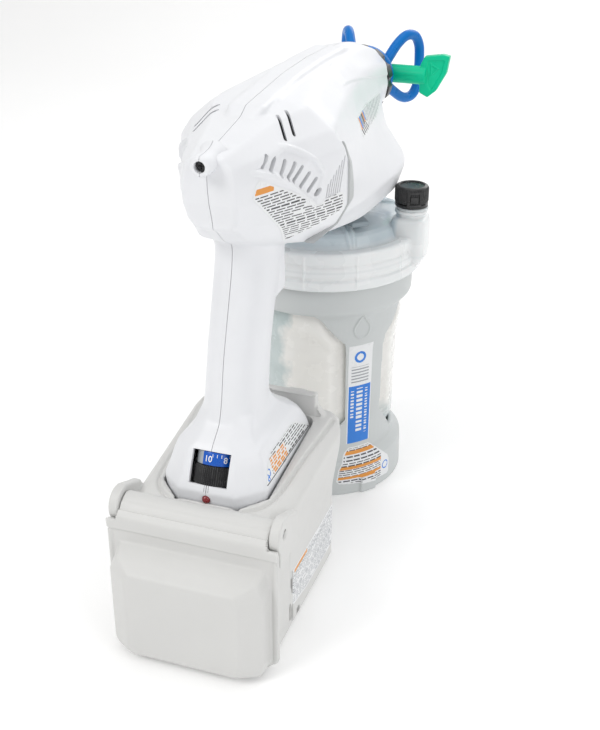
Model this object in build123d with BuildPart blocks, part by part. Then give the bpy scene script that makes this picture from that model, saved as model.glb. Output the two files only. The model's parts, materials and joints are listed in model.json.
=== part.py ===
from build123d import *
import math
import os

# Handheld cordless paint sprayer: battery case and door at the rear foot, gun body with
# motor and piston pump above, cup below the pump, nozzle at the front.
# Millimetres. X runs to the operator's right, Y forward along the spray, Z up. The sprayer
# stands on its battery case and its cup. Places along Y are given as stations, counted from
# the line of the battery door; the origin sits ORIGIN_STATION in front of that line, in the
# middle of the battery case's flat underside.

os.makedirs("parts", exist_ok=True)

# ---------------------------------------------------------------- driving sizes
ORIGIN_STATION = 61.0
SPRAY_Z = 268.0                 # height of the spray axis
CUP_STATION = 233.0
MOTOR_Z = 262.0                 # height of the motor shaft
WALL = 2.6                      # moulded wall of the gun body
PIN_RADIUS = 1.9                # hinge pin and trigger pin
RUNNING_FIT = 0.05              # on radius

# Axes that run along Y, as (x, z)
SPRAY_AT = (0, SPRAY_Z)
MOTOR_AT = (0, MOTOR_Z)
REAR_SCREW_AT = (0, 285)
LENS_AT = (0, 93.3)
# Axes that run along X, as (station, z)
HINGE_STATION, HINGE_Z = 8.5, 88.0
HINGE_AT = (HINGE_STATION, HINGE_Z)
TRIGGER_AT = (113.0, 224.0)
PRIME_AT = (188, 244)
# Axes that run along Z, as (x, station)
CUP_AT = (0, CUP_STATION)

CUT = Mode.SUBTRACT


# ---------------------------------------------------------------- shared helpers
def st(station):
    """Station to model Y."""
    return station - ORIGIN_STATION


def station_plane(station):
    """Upright plane across the spray. Its normal points to the rear."""
    return Plane.XZ.offset(-st(station))


# The extruding helpers hand their sketch straight to extrude, which acts on the part
# that is open where the helper is called.
def extrude_circle(plane, centre, radius, length, bore, mode):
    with BuildSketch(plane) as profile:
        with Locations(centre):
            Circle(radius)
            if bore:
                Circle(bore, mode=CUT)
    extrude(profile.sketch, amount=length, dir=plane.z_dir, mode=mode)


def bar_x(start, centre, radius, length, bore=0, mode=Mode.ADD):
    """Round bar or tube running right from x = start; centre is (station, z)."""
    station, z = centre
    extrude_circle(Plane.YZ.offset(start), (st(station), z), radius, length, bore, mode)


def bar_y(start, centre, radius, length, bore=0, mode=Mode.ADD):
    """Round bar or tube running forward from a station; centre is (x, z)."""
    extrude_circle(station_plane(start), centre, radius, -length, bore, mode)


def bar_z(start, centre, radius, length, bore=0, mode=Mode.ADD):
    """Round bar or tube running up from z = start; centre is (x, station)."""
    x, station = centre
    extrude_circle(Plane.XY.offset(start), (x, st(station)), radius, length, bore, mode)


def extrude_ring(plane, points, length, mode):
    with BuildSketch(plane) as profile:
        with BuildLine():
            Polyline(*points, close=True)
        make_face()
    extrude(profile.sketch, amount=length, dir=plane.z_dir, mode=mode)


def prism_x(start, points, length, mode=Mode.ADD):
    """Prism running right from x = start; points are (station, z)."""
    ring = [(st(station), z) for station, z in points]
    extrude_ring(Plane.YZ.offset(start), ring, length, mode)


def prism_y(start, points, length, mode=Mode.ADD):
    """Prism running forward from a station; points are (x, z)."""
    extrude_ring(station_plane(start), points, -length, mode)


def prism_z(start, points, length, mode=Mode.ADD):
    """Prism running up from z = start; points are (x, station)."""
    ring = [(x, st(station)) for x, station in points]
    extrude_ring(Plane.XY.offset(start), ring, length, mode)


def ruled_loft(sections):
    """Flat-faced loft through (plane, closed ring) sections."""
    with BuildPart() as piece:
        for plane, ring in sections:
            with BuildSketch(plane):
                with BuildLine():
                    Polyline(*ring, close=True)
                make_face()
        loft(ruled=True)
    return piece.part


def loft_y(sections):
    """Loft through (station, ring of (x, z))."""
    return ruled_loft([(station_plane(station), ring) for station, ring in sections])


def loft_z(sections):
    """Loft through (z, ring of (x, station))."""
    return ruled_loft([(Plane.XY.offset(z), [(x, st(station)) for x, station in ring])
                       for z, ring in sections])


def half_of(whole, keep):
    """Keep.TOP gives the right-hand half, Keep.BOTTOM the left-hand one."""
    with BuildPart() as piece:
        add(whole)
        split(bisect_by=Plane.YZ, keep=keep)
    return piece.part


def save(name, part):
    part.label = name
    export_step(part, f"parts/{name}.step")


# ---------------------------------------------------------------- gun body
# Head outline at each station: eight (x, z) points down the right-hand side.
HEAD = [
    (38, [(0, 289), (9, 288), (14, 282), (16, 273),
          (16, 262), (15, 252), (11, 246.5), (0, 246)]),
    (55, [(0, 292), (12, 290.5), (20.5, 283), (23.8, 273),
          (23.8, 257), (21.5, 246), (14, 236.5), (0, 236)]),
    (78, [(0, 296), (16, 294), (28, 285), (33.5, 274),
          (33.5, 252), (29, 240), (20, 229), (0, 224)]),
    (115, [(0, 302.5), (28, 298.5), (43, 286), (50, 275.5),
           (50, 242.5), (44, 231), (30, 219), (0, 213)]),
    (119, [(0, 303), (30, 299.5), (45, 287), (51.5, 276),
           (51.5, 242), (46, 230), (32, 216.5), (0, 211)]),
    (120.5, [(0, 303), (26, 299), (40, 286), (47, 274),
             (47, 243), (42, 231), (28, 219), (0, 213)]),
    (150, [(0, 304.5), (22, 301), (36, 288), (44, 272),
           (46, 248), (45, 229), (34, 214), (0, 210)]),
    (178, [(0, 305), (18, 302), (31, 290), (40, 272),
           (46, 250), (49.5, 231), (41, 212), (0, 208)]),
    (205, [(0, 305), (15, 302), (27, 290), (34, 272),
           (44, 250), (53, 233), (46, 214), (0, 208)]),
    (233, [(0, 304), (13, 301), (24, 289), (30, 271),
           (41, 250), (54, 233), (48, 215), (0, 208)]),
    (262, [(0, 300), (12, 297), (22, 286), (26, 270),
           (33, 250), (44, 235), (37, 217), (0, 209)]),
    (282, [(0, 295.5), (12, 292), (21, 283), (23.5, 269),
           (22, 255), (18, 242), (14, 230), (0, 224)]),
    (287, [(0, 294), (12, 290.5), (20, 282), (23, 268.5),
           (21, 256), (16, 247), (9, 243), (0, 242)]),
    (300, [(0, 290), (12, 286.5), (19, 279.5), (22, 268),
           (20, 257.5), (14, 250), (7, 246.5), (0, 246)]),
]
HEAD_INSET = WALL + 0.6
CAVITY_REAR, CAVITY_FRONT = 40.6, 297   # stations that bound the hollow of the head
FLARE_STATIONS = (115, 119)             # flared outlines that the hollow passes by

# Handle: height, centre station, half width, half depth.
HANDLE = [
    (118, 64.5, 20, 28), (130, 66.5, 17.5, 25), (142, 69.5, 16.3, 24), (165, 74.5, 16, 24.3),
    (195, 84, 16.2, 24.5), (222, 92.5, 16.8, 25.5), (244, 96, 19, 30),
]

# Foot of the handle: height, half width, rear station, front station, corner cut.
FOOT = [
    (85.5, 31, 20.5, 111.5, 8), (97, 32.5, 19, 112.5, 9), (107, 32, 23.3, 111, 10),
    (117, 29.5, 27.8, 103, 11), (124, 26, 31.5, 97, 12), (134, 18, 40, 92, 9),
]
FOOT_CAVITY_TOP = 131

# Raised cap along the crown of the head: (station, z).
SPINE_CAP = [(84, 292), (86, 299.4), (120, 304.8), (178, 306.6), (236, 305.4), (262, 299)]
SPINE_CAP_WIDTH = 22

# Opening for the trigger: (station, z).
TRIGGER_SLOT = [(84, 158), (112, 158), (124, 200), (126, 231), (100, 231), (88, 200)]
TRIGGER_SLOT_WIDTH = 16.4
TRIGGER_BOSS_GAP = 9.6          # from the middle plane to each boss
TRIGGER_BOSS_LENGTH = 16.4

# Louvres on each flank of the head: station, height, length.
LOUVRES = [
    (60.4, 281, 8.5), (65.1, 278, 10.3), (70.9, 274.8, 11.3), (76.2, 272, 12),
    (80.4, 269.3, 11.4), (85.5, 265, 10.8), (90.8, 261, 9.8), (94.4, 256, 5.0),
]
CROWN_SLOTS = [(21.9, 87.6), (24.2, 94.8)]      # x, station

# Shell screws: station, height, half length of the cross boss.
SHELL_SCREWS = [(71, 150, 15), (76, 178, 15), (98, 104, 30), (52, 268, 21), (243, 291, 20)]
SCREW_SEAT_X = -12              # heads bear here, let in from the left
CUT_START_X = -60               # cross cuts begin well outside the left flank

# The speed dial stands behind the sloping rear face of the foot, its shaft along the slope.
DIAL = Plane(origin=(0, st(34.7), 103.4), x_dir=(1, 0, 0), z_dir=(0, 0.3995, 0.9167))
DIAL_RADIUS = 12.0
DIAL_SHAFT_RADIUS = 2.0
DIAL_BOTTOM, DIAL_TOP = -12.2, 4.2      # knurled part, along the dial axis
DIAL_WINDOW_HALF = 12.9


def full_ring(right_side):
    """Right-hand outline, top centre to bottom centre, made into a closed ring."""
    return right_side + [(-x, z) for x, z in reversed(right_side[1:-1])]


def shrink(outline, inset):
    """The same outline pulled in by about inset on every side."""
    heights = [z for _, z in outline]
    mid_z = (max(heights) + min(heights)) / 2
    half_width = max(x for x, _ in outline)
    half_height = (max(heights) - min(heights)) / 2
    return [(x * (half_width - inset) / half_width,
             mid_z + (z - mid_z) * (half_height - inset) / half_height) for x, z in outline]


def octagon(half_width, rear, front, corner):
    """Rectangle between two stations with its corners cut, as (x, station)."""
    inner = half_width - corner
    return [(inner, rear), (half_width, rear + corner),
            (half_width, front - corner), (inner, front),
            (-inner, front), (-half_width, front - corner),
            (-half_width, rear + corner), (-inner, rear)]


def head_outer():
    return loft_y([(station, full_ring(outline)) for station, outline in HEAD])


def head_cavity():
    sections = [(CAVITY_REAR, HEAD[0][1])]
    sections += [section for section in HEAD[1:-1] if section[0] not in FLARE_STATIONS]
    sections += [(CAVITY_FRONT, HEAD[-1][1])]
    return loft_y([(station, full_ring(shrink(outline, HEAD_INSET)))
                   for station, outline in sections])


def handle_loft(inset=0):
    with BuildPart() as piece:
        for z, station, half_width, half_depth in HANDLE:
            with BuildSketch(Plane.XY.offset(z)):
                with Locations((0, st(station))):
                    Ellipse(half_width - inset, half_depth - inset)
        loft()
    return piece.part


def foot_outer():
    return loft_z([(z, octagon(*outline)) for z, *outline in FOOT])


def foot_cavity():
    sections = FOOT[:-1] + [(FOOT_CAVITY_TOP,) + FOOT[-1][1:]]
    return loft_z([(z, octagon(half_width - WALL, rear + WALL, front - WALL, corner - 1))
                   for z, half_width, rear, front, corner in sections])


def gun_body():
    """Both shells in one, before they are parted on the middle plane."""
    outers = (head_outer(), handle_loft(), foot_outer())
    cavities = (head_cavity(), handle_loft(WALL), foot_cavity())
    with BuildPart() as piece:
        for outer in outers:
            add(outer)
        # rear boss that carries the hanging screw
        bar_y(28, REAR_SCREW_AT, radius=5.0, length=14)
        prism_x(-SPINE_CAP_WIDTH / 2, SPINE_CAP, SPINE_CAP_WIDTH)
        for cavity in cavities:
            add(cavity, mode=CUT)
        # cross bosses for the shell screws
        for station, z, half_length in SHELL_SCREWS:
            bar_x(-half_length, (station, z), radius=3.6, length=2 * half_length)
        # bosses either side of the trigger
        for start in (-TRIGGER_BOSS_GAP - TRIGGER_BOSS_LENGTH, TRIGGER_BOSS_GAP):
            bar_x(start, TRIGGER_AT, radius=4.6, length=TRIGGER_BOSS_LENGTH)
        # nose hole and trigger slot
        bar_y(290, SPRAY_AT, radius=12.0, length=15, mode=CUT)
        prism_x(-TRIGGER_SLOT_WIDTH / 2, TRIGGER_SLOT, TRIGGER_SLOT_WIDTH, mode=CUT)
        # dial window
        with BuildSketch(DIAL.offset(-DIAL_WINDOW_HALF)):
            with Locations((0, -12)):
                Rectangle(25.0, 13)
        extrude(amount=2 * DIAL_WINDOW_HALF, mode=CUT)
        # lens hole, knob stem hole, inlet hole over the cup
        bar_y(15, LENS_AT, radius=2.6, length=9, mode=CUT)
        bar_x(CUT_START_X, PRIME_AT, radius=3.6, length=24, mode=CUT)
        bar_z(200, CUP_AT, radius=17.0, length=15, mode=CUT)
        # louvres in both flanks
        for station, z, slot_length in LOUVRES:
            for start in (-62, 14):
                with BuildSketch(Plane.YZ.offset(start)):
                    with Locations((st(station), z)):
                        SlotOverall(slot_length, 1.9, rotation=44)
                extrude(amount=48, mode=CUT)
        # slanted slots through the crown
        for x, station in CROWN_SLOTS:
            for side in (-1, 1):
                with BuildSketch(Plane.XY.offset(280)):
                    with Locations((side * x, st(station))):
                        SlotOverall(16.8, 2.0, rotation=90 + side * 36.7)
                extrude(amount=20, mode=CUT)
        # shell screw holes and head recesses
        for station, z, _ in SHELL_SCREWS:
            bar_x(CUT_START_X, (station, z), radius=1.6, length=72, mode=CUT)
            bar_x(CUT_START_X, (station, z), radius=3.1,
                  length=SCREW_SEAT_X - CUT_START_X, mode=CUT)
        # trigger pin hole, rear screw hole
        bar_x(-20, TRIGGER_AT, radius=PIN_RADIUS + RUNNING_FIT, length=40, mode=CUT)
        bar_y(27, REAR_SCREW_AT, radius=2.4, length=17, mode=CUT)
    return piece.part


def shell_screws():
    head_height = 2.4
    with BuildPart() as piece:
        for station, z, _ in SHELL_SCREWS:
            bar_x(SCREW_SEAT_X, (station, z), radius=1.5, length=23)
            bar_x(SCREW_SEAT_X - head_height, (station, z), radius=2.9, length=head_height)
            # hexagon socket
            with BuildSketch(Plane.YZ.offset(SCREW_SEAT_X - head_height)):
                with Locations((st(station), z)):
                    RegularPolygon(1.4, 6)
            extrude(amount=1.4, mode=CUT)
    return piece.part


def rear_screw():
    rear_end = 30.5
    with BuildPart() as piece:
        bar_y(rear_end, REAR_SCREW_AT, radius=2.35, length=13)
        # hexagon socket
        with BuildSketch(station_plane(rear_end)):
            with Locations(REAR_SCREW_AT):
                RegularPolygon(1.3, 6)
        extrude(amount=-2, mode=CUT)
    return piece.part


# ---------------------------------------------------------------- speed dial, scale ring, lamp
def speed_dial():
    shaft_half_length = 15
    with BuildPart() as piece:
        with BuildSketch(DIAL.offset(DIAL_BOTTOM)):
            Circle(DIAL_RADIUS)
            # knurling
            with PolarLocations(DIAL_RADIUS + 0.1, 40):
                Circle(0.42, mode=CUT)
        extrude(amount=DIAL_TOP - DIAL_BOTTOM)
        with BuildSketch(DIAL.offset(-shaft_half_length)):
            Circle(DIAL_SHAFT_RADIUS)
        extrude(amount=2 * shaft_half_length)
    return piece.part


def dial_scale():
    with BuildPart() as piece:
        with BuildSketch(DIAL.offset(DIAL_TOP)):
            Circle(DIAL_RADIUS - 0.25)
            Circle(DIAL_SHAFT_RADIUS, mode=CUT)
        extrude(amount=8.0)
    return piece.part


def indicator_lens():
    with BuildPart() as piece:
        bar_y(17.2, LENS_AT, radius=2.45, length=3.9)
        # round the rear edge, which shows
        fillet(piece.edges().group_by(Axis.Y)[0], 1.2)
    return piece.part


# ---------------------------------------------------------------- battery case
CASE_HALF_WIDTH = 46.0
KNUCKLE_RADIUS = 7.5
KNUCKLE_HALF_LENGTH = 45.2      # of the door knuckle, between the ears
EAR_INNER_X = 45.6
EAR_THICKNESS = 6.0
BAY_Z = 38.5                    # mid height of the battery bay and its gasket

# Case: height, half width at the rear, half width at the front, front station, corner cut.
CASE = [
    (0, 42.5, 42, 119.5, 9),
    (5, CASE_HALF_WIDTH, 46, 122, 11),
    (57, CASE_HALF_WIDTH, 46, 122, 11),
    (85, CASE_HALF_WIDTH, 49.6, 125.5, 11),
    (106, CASE_HALF_WIDTH, 49.8, 126, 11),
]
CASE_TOP = [(-2, 45.4, 88.5), (130, 50.2, 102.9)]   # station, half width, height of the top

# Step cut for the door knuckle: (station, z).
KNUCKLE_STEP = [(-2, 76), (13, 76), (16.8, 79), (16.8, 110), (-2, 110)]
# Lip just in front of the handle foot: (station, z).
FRONT_LIP = [(114.6, 97), (115.4, 117), (119.5, 117.6), (124, 98)]
FRONT_LIP_WIDTH = 66


def case_ring(rear_half, front_half, front, corner):
    """Case outline as (x, station), with broken corners at the front."""
    rear = 0.6
    right = [(rear_half, rear), (front_half, front - corner),
             (front_half - corner * 0.3, front - corner * 0.3), (front_half - corner, front)]
    return right + [(-x, station) for x, station in reversed(right)]


def case_top_ring(half_width, top):
    """Everything below the case top and its broken shoulders, as (x, z)."""
    right = [(70, -5), (70, top - 76 + half_width), (half_width - 3, top - 3),
             (half_width - 8, top)]
    return [(-70, -5)] + right + [(-x, z) for x, z in reversed(right[1:])]


def battery_case():
    """Both case halves in one, before they are parted on the middle plane."""
    sides = loft_z([(z, case_ring(*outline)) for z, *outline in CASE])
    under_top = loft_y([(station, case_top_ring(half_width, top))
                        for station, half_width, top in CASE_TOP])
    with BuildPart() as piece:
        add(sides)
        add(under_top, mode=Mode.INTERSECT)
        prism_x(-60, KNUCKLE_STEP, length=120, mode=CUT)
        prism_x(-FRONT_LIP_WIDTH / 2, FRONT_LIP, FRONT_LIP_WIDTH)
        # ears that hold the hinge pin
        for start in (-EAR_INNER_X - EAR_THICKNESS, EAR_INNER_X):
            with BuildSketch(Plane.YZ.offset(start)):
                with Locations((st(HINGE_STATION), HINGE_Z)):
                    Circle(10.5)
                with BuildLine():
                    Polyline((st(HINGE_STATION + 2), HINGE_Z + 10.3), (st(30), 91),
                             (st(30), 70), (st(1.5), 70), (st(1.5), HINGE_Z - 4), close=True)
                make_face()
            extrude(amount=EAR_THICKNESS)
        # battery bay, open to the rear
        with BuildSketch(station_plane(0)):
            with Locations((0, BAY_Z)):
                RectangleRounded(86, 70, 4)
        extrude(amount=-117.5, mode=CUT)
        # upper pocket that takes the handle foot
        prism_z(73, octagon(33.6, 18.4, 114.2, 8), length=45, mode=CUT)
        # room for the knuckle between the ears
        bar_x(-EAR_INNER_X, HINGE_AT, radius=KNUCKLE_RADIUS + 0.7, length=2 * EAR_INNER_X,
              mode=CUT)
        # hinge pin hole, with a wider mouth at each end
        bar_x(-60, HINGE_AT, radius=PIN_RADIUS, length=120, mode=CUT)
        for start in (-52, 50.6):
            bar_x(start, HINGE_AT, radius=2.9, length=1.4, mode=CUT)
        # two upright slots in each flank
        for start in (-50, 40):
            with BuildSketch(Plane.YZ.offset(start)):
                with Locations((st(36), 31.5)):
                    SlotOverall(11, 3.0, rotation=90)
                with Locations((st(36), 11.5)):
                    SlotOverall(14, 2.4, rotation=90)
            extrude(amount=10, mode=CUT)
    return piece.part


def hinge_pin():
    half_length = 50.4
    with BuildPart() as piece:
        bar_x(-half_length, HINGE_AT, radius=PIN_RADIUS, length=2 * half_length)
    return piece.part


# ---------------------------------------------------------------- battery door
# Flange that closes on the rear rim of the case: (x, z).
DOOR_FLANGE = [(-44, 1.2), (44, 1.2), (51.6, 8), (51.6, 84), (-51.6, 84), (-51.6, 8)]
DOOR_FLANGE_THICKNESS = 4.0
# Web from knuckle to flange: (station, z).
DOOR_WEB = [(-4, 80), (-4, 86), (2, 93), (9, 93), (9, 81.2), (0, 79)]
# Bulge over the end of the battery: station, ring of (x, z).
DOOR_BULGE = [
    (-3.9, [(-44, 3.2), (44, 3.2), (47, 8), (47, 62),
            (44.5, 71), (-44.5, 71), (-47, 62), (-47, 8)]),
    (-14, [(-44, 3.2), (44, 3.2), (47, 8), (47, 58),
           (42, 66), (-42, 66), (-47, 58), (-47, 8)]),
    (-22, [(-32, 5), (32, 5), (34.5, 9), (34.5, 57),
           (32, 61), (-32, 61), (-34.5, 57), (-34.5, 9)]),
]
# Hollow inside the bulge: station, ring of (x, z).
DOOR_HOLLOW = [
    (0.2, [(-41.5, 6), (41.5, 6), (41.5, 68), (-41.5, 68)]),
    (-12.5, [(-41.5, 6), (41.5, 6), (41.5, 61), (-41.5, 61)]),
    (-19.4, [(-31, 8), (31, 8), (31, 57), (-31, 57)]),
]


def battery_door():
    bulge = loft_y(DOOR_BULGE)
    hollow = loft_y(DOOR_HOLLOW)
    knuckle_length = 2 * KNUCKLE_HALF_LENGTH
    with BuildPart() as piece:
        bar_x(-KNUCKLE_HALF_LENGTH, HINGE_AT, radius=KNUCKLE_RADIUS, length=knuckle_length)
        prism_y(-DOOR_FLANGE_THICKNESS, DOOR_FLANGE, DOOR_FLANGE_THICKNESS)
        prism_x(-KNUCKLE_HALF_LENGTH, DOOR_WEB, knuckle_length)
        add(bulge)
        add(hollow, mode=CUT)
        # clearance round the ears of the case
        for start in (-52, KNUCKLE_HALF_LENGTH):
            bar_x(start, HINGE_AT, radius=11.2, length=6.8, mode=CUT)
        bar_x(-46, HINGE_AT, radius=PIN_RADIUS + RUNNING_FIT, length=92, mode=CUT)
    return piece.part


def door_gasket():
    with BuildPart() as piece:
        with BuildSketch(station_plane(0.02)):
            with Locations((0, BAY_Z)):
                RectangleRounded(90.5, 73.5, 5)
                RectangleRounded(87, 70.6, 4, mode=CUT)
        extrude(amount=-0.5)
    return piece.part


# ---------------------------------------------------------------- battery pack and electrics
PACK_STATION = 44
PACK_BOTTOM = 7.5
PACK_HEIGHT = 46
RAIL_WIDTH, RAIL_LENGTH = 56, 86
BUTTON_Z = 40


def battery_pack():
    with BuildPart() as piece:
        with BuildSketch(Plane.XY.offset(PACK_BOTTOM)):
            with Locations((0, st(PACK_STATION))):
                RectangleRounded(75, 110, 7)
        extrude(amount=PACK_HEIGHT)
        fillet(piece.edges().group_by(Axis.Z)[0], 3)
        # rail block on top, grooved along both sides
        with BuildSketch(Plane.XY.offset(PACK_BOTTOM + PACK_HEIGHT)):
            with Locations((0, st(PACK_STATION))):
                Rectangle(RAIL_WIDTH, RAIL_LENGTH)
        extrude(amount=8)
        with BuildSketch(Plane.XY.offset(56)):
            for side in (-1, 1):
                with Locations((side * RAIL_WIDTH / 2, st(PACK_STATION))):
                    Rectangle(6, RAIL_LENGTH)
        extrude(amount=2.6, mode=CUT)
        # pocket for the release button in the rear end
        with Locations((0, st(-8), BUTTON_Z)):
            Box(22.8, 8, 12.8, mode=CUT)
    return piece.part


def release_button():
    with BuildPart() as piece:
        with Locations((0, st(-9.6), BUTTON_Z)):
            Box(22, 5, 12)
        fillet(piece.edges().filter_by(Axis.Y), 2)
    return piece.part


def terminal_block():
    block_z = 66
    with BuildPart() as piece:
        with Locations((0, st(70), block_z)):
            Box(40, 28, 7.4)
        # four blades at the rear
        with Locations((0, st(52), block_z)):
            with GridLocations(9, 1, 4, 1):
                Box(1.2, 9, 5)
    return piece.part


def control_board():
    with BuildPart() as piece:
        with Locations((0, st(78), 92)):
            Box(44, 44, 1.6)
        with Locations((8, st(84), 98)):
            Box(12, 12, 10.4)
        with Locations((-10, st(80), 96)):
            Cylinder(5, 6.4)
    return piece.part


# Wire run up through the handle: (station, z).
WIRE_RUN = [(62, 95.5), (58, 118), (57.5, 140), (60, 160), (64.5, 180), (70, 202), (78, 220)]


def wire_harness():
    start_station, start_z = WIRE_RUN[0]
    with BuildPart() as piece:
        with BuildLine(Plane.YZ) as wire_path:
            Spline(*[(st(station), z) for station, z in WIRE_RUN], tangents=((0, 1), (0, 1)))
        with BuildSketch(Plane.XY.offset(start_z)):
            with Locations((0, st(start_station))):
                Circle(2.2)
        sweep(path=wire_path.line)
    return piece.part


# ---------------------------------------------------------------- trigger
# Trigger side outline: (station, z).
TRIGGER_OUTLINE = [
    (108.5, 226), (117.5, 226), (119.5, 219), (118.6, 204), (114.6, 186), (110.5, 172),
    (109.5, 163.5), (105.5, 162), (100, 170), (101, 180), (105.5, 198), (107.5, 214),
]
TRIGGER_WIDTH = 12.6
TRIGGER_HUB_LENGTH = 15.2
SWITCH_AT = (0, 202)            # plunger axis, (x, z)
PLUNGER_RADIUS = 2.0


def trigger():
    with BuildPart() as piece:
        prism_x(-TRIGGER_WIDTH / 2, TRIGGER_OUTLINE, TRIGGER_WIDTH)
        # round the two lowest cross edges
        fillet(piece.edges().filter_by(Axis.X).sort_by(Axis.Z)[0:2], 1.2)
        bar_x(-TRIGGER_HUB_LENGTH / 2, TRIGGER_AT, radius=5.2, length=TRIGGER_HUB_LENGTH)
        bar_x(-9, TRIGGER_AT, radius=PIN_RADIUS + RUNNING_FIT, length=18, mode=CUT)
    return piece.part


def trigger_pin():
    half_length = 19
    with BuildPart() as piece:
        bar_x(-half_length, TRIGGER_AT, radius=PIN_RADIUS, length=2 * half_length)
    return piece.part


def trigger_spring():
    """Plain ring that stands for the spring."""
    with BuildPart() as piece:
        bar_x(8.0, TRIGGER_AT, radius=3.6, length=1.2, bore=2.3)
    return piece.part


def trigger_lock():
    with BuildPart() as piece:
        with BuildSketch(station_plane(119.6)):
            with Locations((0, 208)):
                Circle(4.4)
            with Locations((0, 202)):
                RectangleRounded(5, 13, 1.8)
        extrude(amount=-2.4)
    return piece.part


def trigger_switch():
    x, z = SWITCH_AT
    with BuildPart() as piece:
        with Locations((x, st(85), z)):
            Box(11, 12, 16)
        bar_y(80.5, SWITCH_AT, radius=PLUNGER_RADIUS + RUNNING_FIT, length=13, mode=CUT)
    return piece.part


def switch_plunger():
    with BuildPart() as piece:
        bar_y(87.2, SWITCH_AT, radius=PLUNGER_RADIUS, length=17.4)
    return piece.part


# ---------------------------------------------------------------- motor
MOTOR_RADIUS = 19
MOTOR_BEARING_RADIUS = 6.0
MOTOR_SHAFT_RADIUS = 2.5
CAN_REAR = 86                   # station
CAN_LENGTH = 50
CAN_FRONT = CAN_REAR + CAN_LENGTH
CAN_FRONT_THICKNESS = 2.0
END_CAP_THICKNESS = 3.5
END_CAP_REAR = CAN_REAR - END_CAP_THICKNESS


def motor_can():
    with BuildPart() as piece:
        bar_y(CAN_REAR, MOTOR_AT, radius=MOTOR_RADIUS, length=CAN_LENGTH, bore=17.4)
        bar_y(CAN_FRONT, MOTOR_AT, radius=MOTOR_RADIUS, length=CAN_FRONT_THICKNESS,
              bore=MOTOR_BEARING_RADIUS)
    return piece.part


def motor_magnets():
    with BuildPart() as piece:
        with BuildSketch(station_plane(94)):
            with Locations(MOTOR_AT):
                Circle(17.35)
                Circle(14.6, mode=CUT)
                # gap that leaves one magnet on each side
                Rectangle(8, 40, mode=CUT)
        extrude(amount=-34)
    return piece.part


def motor_end_cap():
    with BuildPart() as piece:
        bar_y(END_CAP_REAR, MOTOR_AT, radius=MOTOR_RADIUS, length=END_CAP_THICKNESS,
              bore=MOTOR_BEARING_RADIUS)
        with Locations((12.5, st(80.5), MOTOR_Z), (-12.5, st(80.5), MOTOR_Z)):
            Box(5, 4, 8)
    return piece.part


def motor_bearings():
    with BuildPart() as piece:
        for start, thickness in ((END_CAP_REAR, END_CAP_THICKNESS),
                                 (CAN_FRONT, CAN_FRONT_THICKNESS)):
            bar_y(start, MOTOR_AT, radius=MOTOR_BEARING_RADIUS, length=thickness,
                  bore=MOTOR_SHAFT_RADIUS + RUNNING_FIT)
    return piece.part


def rotor():
    core_radius = 13.8
    with BuildPart() as piece:
        bar_y(70, MOTOR_AT, radius=MOTOR_SHAFT_RADIUS, length=84)
        # core with seven slots in its rim
        with BuildSketch(station_plane(96)):
            with Locations(MOTOR_AT):
                Circle(core_radius)
                with PolarLocations(core_radius, 7):
                    Rectangle(5, 1.6, mode=CUT)
        extrude(amount=-30)
        # collar behind the core
        bar_y(88, MOTOR_AT, radius=6.5, length=6)
    return piece.part


def cooling_fan():
    with BuildPart() as piece:
        with BuildSketch(station_plane(71.5)):
            with Locations(MOTOR_AT):
                Circle(5)
                with PolarLocations(9.5, 9):
                    Rectangle(11, 1.4, rotation=18)
                Circle(MOTOR_SHAFT_RADIUS, mode=CUT)
        extrude(amount=-5.5)
    return piece.part


# ---------------------------------------------------------------- drive
PINION_TEETH = 12
GEAR_TEETH = 36
GEAR_MODULE = 0.8
TIP_CLEARANCE = 0.15
DRIVE_Z = MOTOR_Z - GEAR_MODULE * (PINION_TEETH + GEAR_TEETH) / 2
DRIVE_AT = (0, DRIVE_Z)
DRIVE_SHAFT_RADIUS = 4.0
SWASH_RADIUS = 13
# Swash disc, square to the shaft at the rear and slanted in front: (station, z).
SWASH_OUTLINE = [
    (158.5, DRIVE_Z - SWASH_RADIUS), (164.2, DRIVE_Z - SWASH_RADIUS),
    (166.0, DRIVE_Z + SWASH_RADIUS), (158.5, DRIVE_Z + SWASH_RADIUS),
]


def gear_ring(teeth, first_tooth, centre_z):
    """Trapezoid teeth on the pitch circle; first_tooth is an angle from +X."""
    pitch_radius = GEAR_MODULE * teeth / 2
    tip = pitch_radius + GEAR_MODULE - TIP_CLEARANCE
    root = pitch_radius - 1.2 * GEAR_MODULE
    pitch = 2 * math.pi / teeth
    points = []
    for k in range(teeth):
        for fraction, radius in ((-0.28, root), (-0.12, tip), (0.12, tip), (0.28, root)):
            angle = first_tooth + (k + fraction) * pitch
            points.append((radius * math.cos(angle), centre_z + radius * math.sin(angle)))
    return points


def spur_gear(start, length, ring, centre, bore):
    with BuildPart() as piece:
        with BuildSketch(station_plane(start)):
            with BuildLine():
                Polyline(*ring, close=True)
            make_face()
            with Locations(centre):
                Circle(bore, mode=CUT)
        extrude(amount=-length)
    return piece.part


# A pinion tooth points down at the mesh; the gear shows a gap there.
def motor_pinion():
    ring = gear_ring(PINION_TEETH, -math.pi / 2, MOTOR_Z)
    return spur_gear(145, 8, ring, MOTOR_AT, bore=MOTOR_SHAFT_RADIUS)


def drive_gear():
    ring = gear_ring(GEAR_TEETH, math.pi / 2 + math.pi / GEAR_TEETH, DRIVE_Z)
    return spur_gear(146, 6, ring, DRIVE_AT, bore=DRIVE_SHAFT_RADIUS)


def swash_shaft():
    with BuildPart() as piece:
        bar_y(141.5, DRIVE_AT, radius=DRIVE_SHAFT_RADIUS, length=27.0)
        prism_x(-SWASH_RADIUS, SWASH_OUTLINE, 2 * SWASH_RADIUS)
        # trim the slanted block to a round disc
        bar_y(157, DRIVE_AT, radius=30, length=12, bore=SWASH_RADIUS, mode=CUT)
    return piece.part


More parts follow.
